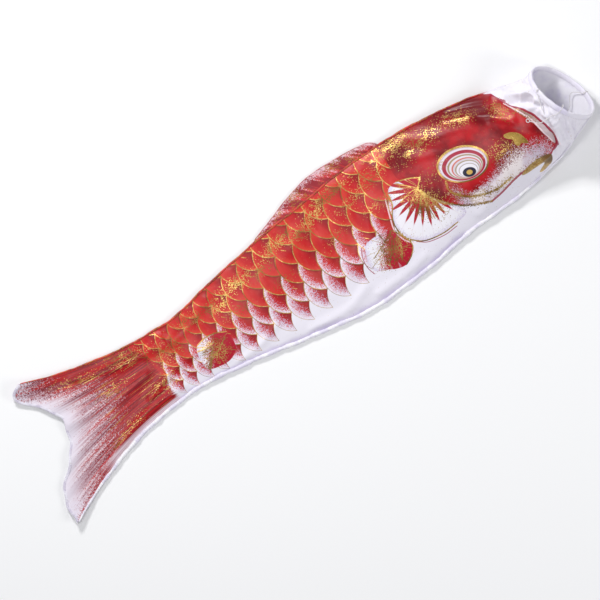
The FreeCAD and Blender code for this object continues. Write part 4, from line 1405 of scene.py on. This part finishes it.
def fork_line(v: np.ndarray) -> np.ndarray:
    """Place on the fork's edge, v from 0 at the belly's tip to 1 at the back's."""
    table = np.array(FORK)
    ragged = np.sin(v * 29 + 0.6) * np.sin(v * 11 + 1.0) * 2.6 * ease(np.minimum(v, 1 - v), 0.0, 0.06)
    x = through(table[:, 0], table[:, 1], v) + ragged
    return np.stack([np.maximum(x, -499.0), through(table[:, 0], table[:, 2], v)], axis=1)


def tail_place(u: np.ndarray, v: np.ndarray, side: Side) -> np.ndarray:
    """Place on the tail.

    Args:
        u: share of the way from the root to the fork.
        v: share of the way from the belly's edge to the back's.
        side: which panel.

    Returns:
        Points in millimetres, one row each.
    """
    belly, back, fork = tail_edge(BELLY_EDGE, u), tail_edge(BACK_EDGE, u), fork_line(v)
    share = across_share(v)
    _, root_belly, root_back, _, _ = STATIONS[0]
    root = np.stack([np.full(len(v), TAIL_X), root_belly + (root_back - root_belly) * share], axis=1)
    ends = [np.array(p) for p in (BELLY_EDGE[0], BACK_EDGE[0], BELLY_EDGE[2], BACK_EDGE[2])]
    at_ends = (
        ((1 - u) * (1 - v))[:, None] * ends[0] + ((1 - u) * v)[:, None] * ends[1]
        + (u * (1 - v))[:, None] * ends[2] + (u * v)[:, None] * ends[3]
    )
    plan = (1 - v)[:, None] * belly + v[:, None] * back + (1 - u)[:, None] * root + u[:, None] * fork - at_ends
    middle = 1 - np.abs(2 * v - 1) ** 4
    if side is Side.NEAR:
        flutter = ease(u, 0.30, 1.0) * (0.5 + 0.5 * np.sin(v * 25 + 0.8) * np.cos(v * 7.0)) * 4.2
        curl = ease(u, 0.80, 1.0) * (ease(v, 0.84, 1.0) * 8.5 + ease(v, 0.16, 0.0) * 6.0)
        z = 3.15 + (2.25 * (1 - ease(u, 0.0, 0.5)) + 0.9) * middle + flutter + curl
    else:
        flutter = ease(u, 0.5, 1.0) * (0.5 + 0.5 * np.sin(v * 17)) * 0.5
        curl = ease(u, 0.84, 1.0) * (ease(v, 0.88, 1.0) * 6.2 + ease(v, 0.14, 0.0) * 3.6)
        z = 2.85 - 2.25 * middle + flutter + curl
    return np.column_stack([plan, z])


def on_hoop(angle: np.ndarray, reach: object, out: object) -> np.ndarray:
    """Place round the mouth's hoop.

    Args:
        angle: each point's turn from the back seam towards the top, in radians.
        reach: distance from the hoop's middle, in millimetres: one for all, or a column.
        out: distance out of the mouth, in millimetres: one for all, or a column.

    Returns:
        Points in millimetres, one row each.
    """
    ring = HOOP_SIDE * np.cos(angle)[:, None] + HOOP_TOP * np.sin(angle)[:, None]
    return HOOP_MIDDLE + ring * reach + HOOP_OUT * out


def throat_place(u: np.ndarray, v: np.ndarray, side: Side) -> np.ndarray:
    """Place on the throat, u from 0 at the lips to 1 inside the mouth's hem."""
    start = section(np.full(len(v), LIP_X), v, side)
    behind = section(np.full(len(v), LIP_X - 6.0), v, side)
    end = on_hoop(math.pi * (1 - v) * side.value, HOOP_RADIUS, -5.2)
    gap = np.linalg.norm(end - start, axis=1)[:, None]
    lead = (start - behind) / 6.0 * gap * 0.8
    draw = HOOP_OUT * gap * 0.75
    t = u[:, None]
    return (
        (2 * t**3 - 3 * t**2 + 1) * start + (t**3 - 2 * t**2 + t) * lead
        + (3 * t**2 - 2 * t**3) * end + (t**3 - t**2) * draw
    )


@dataclass
class BodyCloth:
    """The two sewn panels, each cut into a front and a rear piece that meet at one row of vertices."""

    throat_rows: int = 52
    across_front: int = 96
    across_rear: int = 96
    tail_rows: int = 128
    lowest: float = 0.45
    dent: float = 1.4
    dent_reach: float = 17.0

    def lay(self, half: Half, side: Side) -> bpy.types.Object:
        """Build one piece of a panel.

        Args:
            half: front or rear.
            side: near or far panel.

        Returns:
            The piece, laid, folded and with its print's maps.
        """
        if half is Half.FRONT:
            trunk_rows = int((LIP_X - SPLIT_X) / (CELL * 1000))
            rows = trunk_rows + self.throat_rows
            piece, u, v = grid(f"{side.name.lower()}_front_cloth", rows, self.across_front)
            step = u * rows
            throat = step > trunk_rows
            x = SPLIT_X + (LIP_X - SPLIT_X) * np.minimum(step / trunk_rows, 1)
            co = section(x, v, side)
            share = (step[throat] - trunk_rows) / self.throat_rows
            co[throat] = throat_place(share, v[throat], side)
            tail_u = np.zeros(len(u))
            hold = ease(u * rows, rows, rows - 10)
        else:
            trunk_rows = int((SPLIT_X - TAIL_X) / (CELL * 1000))
            rows = trunk_rows + self.tail_rows
            piece, u, v = grid(f"{side.name.lower()}_rear_cloth", rows, self.across_rear)
            step = (1 - u) * rows
            tail = step > trunk_rows
            x = SPLIT_X + (TAIL_X - SPLIT_X) * np.minimum(step / trunk_rows, 1)
            co = section(x, v, side)
            tail_u = np.maximum(step - trunk_rows, 0) / self.tail_rows
            co[tail] = tail_place(tail_u[tail], v[tail], side)
            hold = np.ones(len(u))
        place(piece, co * MM)
        self._print(piece, half, co[:, :2], tail_u, v)
        self._fold(piece, co, v, hold, side)
        return piece

    def _print(
        self, piece: bpy.types.Object, half: Half, plan: np.ndarray, tail_u: np.ndarray, v: np.ndarray
    ) -> None:
        """Write the print's maps and fields on a piece.

        Args:
            piece: the cloth.
            half: front or rear.
            plan: each vertex's place seen from above, in millimetres.
            tail_u: each vertex's share of the way from the tail's root to the fork.
            v: each vertex's share of the way from the belly seam to the back seam.
        """
        write_uv(piece, "plan", plan * MM)
        write_uv(piece, "scales", warp_to_scales(plan) * MM)
        before = ease(plan[:, 0], -285.0, -234.0)
        root = 0.07 + 0.13 * v
        write_uv(piece, "tail", np.stack([(tail_u - root) / (1 - root) - before * 0.1, v], axis=1))
        write_strokes(piece, "gold_lines", plan, GOLD_STROKES)
        write_strokes(piece, "crimson_lines", plan, CRIMSON_STROKES)
        write_strokes(piece, "white_lines", plan, WHITE_STROKES)
        if half is Half.FRONT:
            write_outlines(piece, "face_outlines", plan, (HEAD, CHEEK, LEAF))
            write_outlines(piece, "mouth_outlines", plan, (LIPS, CORNER))
            write_outlines(piece, "fin_outlines", plan, (PECTORAL, PELVIC))
        else:
            write_outlines(piece, "fin_outlines", plan, (ANAL,))
        write_field(piece, "glitter", glitter_drifts(plan))

    def _fold(
        self, piece: bpy.types.Object, co: np.ndarray, v: np.ndarray, hold: np.ndarray, side: Side
    ) -> None:
        """Raise the folds and puckers, which die away at the seams and at the hem.

        Args:
            piece: the cloth.
            co: each vertex's place, in millimetres.
            v: each vertex's share of the way from the belly seam to the back seam.
            hold: how freely each vertex may lift, 0 at the hem.
            side: which panel.
        """
        plan = co[:, :2]
        edge = np.minimum(v, 1 - v)
        free = ease(edge, 0.0, 0.09) * hold
        normals = np.empty(len(v) * 3, np.float32)
        piece.data.vertex_normals.foreach_get("vector", normals)
        normals = normals.reshape(-1, 3).astype(float)
        lift = np.zeros(len(v))
        if side is Side.NEAR:
            for fold in NEAR_FOLDS:
                far, _ = near_line(plan, rounded(fold.points, closed=False, steps=5))
                lift += fold.height * np.exp(-((far / fold.width) ** 2))
            lift += 0.45 * waves(plan, 60, 11) * ease(plan[:, 0], -300.0, -200.0)
            puckers = np.sin(plan[:, 0] / 5.1 + 1.2 * np.sin(plan[:, 0] / 23)) * np.exp(-((edge / 0.07) ** 2))
            lift += 0.5 * puckers * ease(plan[:, 0], -240.0, -180.0)
            gathers = np.sin(v * 118 + 1.5 * np.sin(v * 31)) * ease(plan[:, 0], 404.0, 440.0) * 0.7
            lift += gathers + 0.8 * waves(plan, 19, 7) * ease(plan[:, 0], 384.0, 420.0)
            from_loop = np.sum((plan - LOOP_PLACE) ** 2, axis=1)
            under_loop = np.exp(-((from_loop / self.dent_reach**2) ** 2))
            lift -= (np.maximum(lift, 0.0) + self.dent) * under_loop
        else:
            lift += 0.5 * (waves(plan, 70, 21) - 1.4) * ease(plan[:, 0], 300.0, 396.0)
        moved = co + normals * (lift * free)[:, None]
        moved[:, 2] = np.maximum(moved[:, 2], self.lowest)
        place(piece, moved * MM)

    def build(self) -> None:
        lining = WhiteSatin("satin_inside", ink(246, 244, 250), ink(218, 212, 236)).build()
        replaced = {
            (Half.FRONT, Side.NEAR): ("near_side_panel", "near_throat_panel"),
            (Half.FRONT, Side.FAR): ("far_side_panel", "far_throat_panel"),
            (Half.REAR, Side.NEAR): ("near_root_strip", "near_tail_panel"),
            (Half.REAR, Side.FAR): ("far_root_strip", "far_tail_panel"),
        }
        for half in Half:
            dress = PrintedSatin(half).build()
            for side in Side:
                piece = self.lay(half, side)
                piece.data.materials.append(dress)
                piece.data.materials.append(lining)
                if side is Side.FAR:
                    turn_out(piece, flip=True)
                thicken(piece, lining=1)
                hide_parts(*replaced[(half, side)])
                join_over(piece, half)
                LOG.info("%s: %d vertices", piece.name, len(piece.data.vertices))


def join_over(piece: bpy.types.Object, half: Half) -> None:
    """Bake a cloth piece's placement into its mesh, the same for either half."""
    if half is Half.FRONT:
        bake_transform(piece)
    else:
        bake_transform(piece)


@dataclass
class Seams:
    """The rolled edges along back and belly, and the narrow hems along the fork."""

    back_half: float = 1.7
    belly_half: float = 3.0

    def edge_line(self, half: Half, v: float) -> np.ndarray:
        """The line where the two panels meet, from the split outwards, in millimetres."""
        shares = np.linspace(0, 1, 40)
        one = np.full(40, v)
        if half is Half.FRONT:
            x = np.linspace(SPLIT_X, LIP_X, 200)
            near = section(x, np.full(200, v), Side.NEAR)
            rest = throat_place(shares[1:], one[1:], Side.NEAR)
        else:
            x = np.linspace(SPLIT_X, TAIL_X, 50)
            near = section(x, np.full(50, v), Side.NEAR)
            shares = np.linspace(0, 0.985, 80)
            rest = tail_place(shares[1:], np.full(79, v), Side.NEAR)
        return np.vstack([near, rest])

    def roll(
        self, name: str, half: Half, v: float, radius: float, material: bpy.types.Material
    ) -> bpy.types.Object:
        """One rolled edge.

        Args:
            name: the piece's name.
            half: front or rear.
            v: 0 for the belly, 1 for the back.
            radius: half its width at the trunk, in millimetres.
            material: its finish.

        Returns:
            The piece.
        """
        line = self.edge_line(half, v)
        outwards = 1.0 if v > 0.5 else -1.0
        length = length_along(line)
        taper = 1 - 0.55 * ease(length, 0.62 * length[-1], length[-1])
        wobble = 1 + 0.20 * np.sin(length / 4.6) * np.sin(length / 17.0) + 0.10 * np.sin(length / 2.3 + v)
        sway = 0.7 * np.sin(length / 11.0) * np.sin(length / 27.0)
        line[:, 1] += (outwards * radius * 0.5 + sway) * taper
        line[:, 2] = np.maximum(line[:, 2] - 0.2, radius * taper * wobble * 0.9 + 0.15)
        piece = tube_along(name, line, radius * taper * wobble, radius * taper * wobble * 0.9)
        piece.data.materials.append(material)
        join_over(piece, half)
        return piece

    def fork_hem(self, side: Side, material: bpy.types.Material) -> bpy.types.Object:
        """The narrow folded hem along one panel's fork edge."""
        rings = 120
        v = np.linspace(0.004, 0.996, rings)
        line = tail_place(np.full(rings, 0.992), v, side)
        name = f"{side.name.lower()}_fork_hem_cloth"
        piece = tube_along(name, line, np.full(rings, 2.0), np.full(rings, 0.55), 10)
        piece.data.materials.append(material)
        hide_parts(f"{side.name.lower()}_fork_hem")
        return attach(piece, "tail")

    def build(self) -> None:
        """Build the seams, and attach the fork hems to the tail."""
        back = RolledEdge("back_seam_satin", ink(214, 60, 52), ink(150, 22, 36), 0.62).build()
        belly = RolledEdge("belly_seam_satin", ink(250, 248, 252), ink(228, 222, 240), 0.0, 4.0).build()
        hem = RolledEdge("fork_hem_satin", ink(238, 234, 244), ink(206, 198, 216), 0.0, 2.5).build()
        for half, part in ((Half.FRONT, ""), (Half.REAR, "tail_")):
            edges = (
                (f"{part}back_seam", "edge_seams", 1.0, self.back_half, back),
                (f"{part}belly_seam", "white_satin", 0.0, self.belly_half, belly),
            )
            for node, slot, v, radius, material in edges:
                piece = self.roll(f"{node}_roll", half, v, radius, material)
                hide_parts(node)
                LOG.info("%s built", piece.name)
        for side in Side:
            piece = self.fork_hem(side, hem)
            LOG.info("%s built", piece.name)


@dataclass
class DorsalFin:
    """Two layers of printed satin sewn into the back seam, with a rolled edge."""

    crest: tuple = (
        (-40.0, 81.0), (-4.0, 92.0), (36.0, 104.5), (80.0, 113.3), (130.0, 111.8), (174.0, 106.5),
        (188.0, 101.0), (195.0, 94.6),
    )
    base_drop: float = 3.0
    along: int = 150
    up: int = 12

    def place_of(self, u: np.ndarray, v: np.ndarray, high: float) -> np.ndarray:
        """Place on a layer, u from tail to head and v from the base to the crest."""
        rim = rounded(self.crest, closed=False)
        length = length_along(rim)
        top = np.stack([np.interp(u * length[-1], length, rim[:, k]) for k in (0, 1)], axis=1)
        tail_end, head_end = self.crest[0][0], self.crest[-1][0]
        low_x = tail_end + (head_end - tail_end) * u
        table = np.array(STATIONS)
        base = np.stack([low_x, through(table[:, 0], table[:, 2], low_x) - self.base_drop], axis=1)
        plan = base * (1 - v)[:, None] + top * v[:, None]
        pleat = np.sin(u * 62 + 3 * v) * 0.35 * v + np.sin(u * 23) * 0.3 * v
        return np.column_stack([plan, high + pleat])

    def build(self) -> None:
        """Build and dress the fin."""
        dress = FinSatin().build()
        for side, high in ((Side.NEAR, 3.3), (Side.FAR, 2.3)):
            name, node = (f"{side.name.lower()}_fin_{part}" for part in ("cloth", "layer"))
            piece, u, v = grid(name, self.along, self.up)
            co = self.place_of(u, v, high)
            place(piece, co * MM)
            write_uv(piece, "plan", co[:, :2] * MM)
            write_uv(piece, "fin", np.stack([u, v], axis=1))
            piece.data.materials.append(dress)
            if side is Side.FAR:
                turn_out(piece, flip=True)
            thicken(piece)
            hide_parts(node)
            self.hinge(piece)
            LOG.info("%s built", piece.name)
        one = np.ones(self.along)
        rim = self.place_of(np.linspace(0.01, 0.99, self.along), one, 2.85)
        edge = tube_along("fin_edge_roll", rim, 0.7 * one, 0.8 * one, 10)
        dye = RolledEdge("fin_edge_satin", ink(226, 178, 182), ink(188, 84, 92), 0.3, 2.5).build()
        edge.data.materials.append(dye)
        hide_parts("fin_edge")
        self.hinge(edge)
        LOG.info("%s built", edge.name)

    def hinge(self, piece: bpy.types.Object) -> None:
        """Bake a piece of the fin's placement into its mesh."""
        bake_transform(piece)


@dataclass
class Mouth:
    """The hem folded round the wire hoop, with its gathers. Hoop, sleeve and stitches are the frame's own."""

    around: int = 288
    section_sides: int = 24

    def build(self) -> None:
        """Build the hem and dress the frame's pieces."""
        deselect()
        bpy.ops.mesh.primitive_torus_add(
            major_segments=self.around, minor_segments=self.section_sides, major_radius=1.0, minor_radius=0.25
        )
        piece = bpy.context.object
        piece.name = piece.data.name = "mouth_hem_cloth"
        co = corners(piece)
        angle = np.arctan2(co[:, 1], co[:, 0])
        turn = np.arctan2(co[:, 2], np.hypot(co[:, 0], co[:, 1]) - 1.0)
        c, s = np.cos(turn), np.sin(turn)
        wide = np.sign(c) * np.abs(c) ** 0.75 * 2.05
        out = -2.2 + np.sign(s) * np.abs(s) ** 0.8 * 4.4
        deep = ease(out, -1.0, -5.0)
        gather = np.sin(angle * 72) * 0.16 + np.sin(angle * 31 + 1.3) * 0.16 + np.sin(angle * 13) * 0.12
        reach = HOOP_RADIUS + wide + gather * deep - 0.25 * np.exp(-(((out + 5.4) / 0.7) ** 2)) * np.sign(c)
        out = out + 0.25 * np.sin(angle * 17 + 2) + 0.15 * np.sin(angle * 41)
        place(piece, on_hoop(angle, reach[:, None], out[:, None]) * MM)
        turn_out(piece)
        bpy.ops.object.shade_smooth()
        white = WhiteSatin("hem_satin").build()
        piece.data.materials.append(white)
        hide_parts("mouth_hem")
        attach(piece, "mouth")
        LOG.info("%s built", piece.name)
        finishes = {
            "hem_stitches": Twine("sewing_thread", ink(236, 232, 240), 2600.0).build(),
            "hoop_wire": Metal("hoop_steel", ink(196, 194, 190), 0.28).build(),
            "hoop_sleeve": Metal("sleeve_metal", ink(176, 174, 172), 0.38).build(),
        }
        for node, material in finishes.items():
            dress_node(node, material)


def dress_node(node: str, material: bpy.types.Material) -> None:
    """Give one of the frame's own pieces its finish."""
    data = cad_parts[node].data
    data.materials.clear()
    data.materials.append(material)
    LOG.info("%s dressed", node)


@dataclass
class Bridle:
    """The bridle's two cords and their knot. The end loop and the ties at the hoop are the frame's own."""

    line_length: float = 0.2108
    leg_length: float = 0.0392

    def cord(self, name: str, route: tuple, material: bpy.types.Material) -> bpy.types.Object:
        """A cord as one smooth curve along its route."""
        curve = bpy.data.curves.new(name, "CURVE")
        curve.dimensions = "3D"
        spline = curve.splines.new("NURBS")
        spline.points.add(len(route) - 1)
        for point, co in zip(spline.points, route):
            point.co = (*co, 1.0)
        spline.order_u = 3
        spline.use_endpoint_u = True
        spline.resolution_u = 8
        curve.bevel_depth = CORD_RADIUS
        curve.bevel_resolution = 4
        curve.use_fill_caps = True
        curve.materials.append(material)
        piece = bpy.data.objects.new(name, curve)
        bpy.context.scene.collection.objects.link(piece)
        return piece

    def knot(self, material: bpy.types.Material) -> bpy.types.Object:
        """The knot where the leg meets the long cord: three turns of cord pulled tight."""
        low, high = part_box("bridle_knot")
        middle = (low + high) / 2
        turns = []
        for tilt in ((70, 0, 20), (20, 60, 0), (100, 30, 75)):
            deselect()
            bpy.ops.mesh.primitive_torus_add(
                major_segments=28, minor_segments=12, major_radius=0.00125, minor_radius=CORD_RADIUS,
                location=middle, rotation=[math.radians(a) for a in tilt],
            )
            turns.append(bpy.context.object)
        deselect()
        for turn in turns:
            turn.select_set(True)
        bpy.context.view_layer.objects.active = turns[0]
        bpy.ops.object.join()
        piece = bpy.context.object
        piece.name = piece.data.name = "bridle_knot_turns"
        bpy.ops.object.transform_apply(location=True, rotation=True, scale=True)
        bpy.ops.object.shade_smooth()
        piece.data.materials.append(material)
        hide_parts("bridle_knot")
        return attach(piece, "bridle")

    def build(self) -> None:
        twine = Twine("bridle_twine").build()
        for node in ("near_hoop_tie", "far_hoop_tie", "bridle_end_loop"):
            dress_node(node, twine)
        knot = self.knot(twine)
        line = self.cord("bridle_line_cord", LINE_ROUTE, twine)
        leg = self.cord("bridle_leg_cord", LEG_ROUTE, twine)
        for piece, node in ((line, "bridle_line"), (leg, "bridle_leg")):
            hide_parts(node)
            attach(piece, "bridle")
            LOG.info("%s built", piece.name)


@dataclass
class Studio:
    """Pale floor, soft light and the camera straight above."""

    turn: float = -35.0
    centre: tuple = (-0.0338, -0.0311)
    width: float = 0.900
    lens: float = 400.0
    film: float = 36.0

    def build(self) -> None:
        """Build floor, lights and camera."""
        deselect()
        bpy.ops.mesh.primitive_plane_add(size=12, location=(0, 0, 0))
        floor = bpy.context.object
        floor.name = "floor"
        material, _, shader = new_material("pale_floor", 0.8)
        shader.inputs["Base Color"].default_value = ink(250, 250, 250)
        floor.data.materials.append(material)
        world = bpy.data.worlds.new("studio")
        world.use_nodes = True
        world.node_tree.nodes["Background"].inputs[0].default_value = ink(244, 246, 252)
        world.node_tree.nodes["Background"].inputs[1].default_value = 0.34
        bpy.context.scene.world = world
        self.lamp("key", (0.1, 1.8, 1.5), 0.4, 33.0)
        self.lamp("top", (-0.6, 0.3, 2.4), 0.6, 15.0)
        self.lamp("low", (1.1, -1.4, 1.3), 0.9, 11.0)
        self.camera()
        bpy.context.scene.view_settings.view_transform = "Standard"
        LOG.info("studio built")

    def camera(self) -> None:
        """A long lens straight above, turned so that the streamer lies across the view."""
        data = bpy.data.cameras.new("camera")
        data.lens = self.lens
        data.sensor_width = self.film
        camera = bpy.data.objects.new("camera", data)
        bpy.context.scene.collection.objects.link(camera)
        camera.location = (*self.centre, self.width * self.lens / self.film)
        camera.rotation_euler = Euler((0, 0, math.radians(self.turn)))
        data.clip_end = 50
        bpy.context.scene.camera = camera

    def lamp(self, name: str, at: tuple, size: float, power: float) -> None:
        """A soft square lamp that faces the streamer."""
        data = bpy.data.lights.new(name, "AREA")
        data.size = size
        data.energy = power
        lamp = bpy.data.objects.new(name, data)
        bpy.context.scene.collection.objects.link(lamp)
        lamp.location = at
        lamp.rotation_euler = (-Vector(at)).to_track_quat("-Z", "Y").to_euler()


def main() -> None:
    """Build the streamer's cloth, seams, fin, mouth and bridle, then the studio."""
    logging.basicConfig(level=logging.INFO)
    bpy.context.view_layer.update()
    BodyCloth().build()
    Seams().build()
    DorsalFin().build()
    Mouth().build()
    Bridle().build()
    Studio().build()


if __name__ == "__main__":
    main()
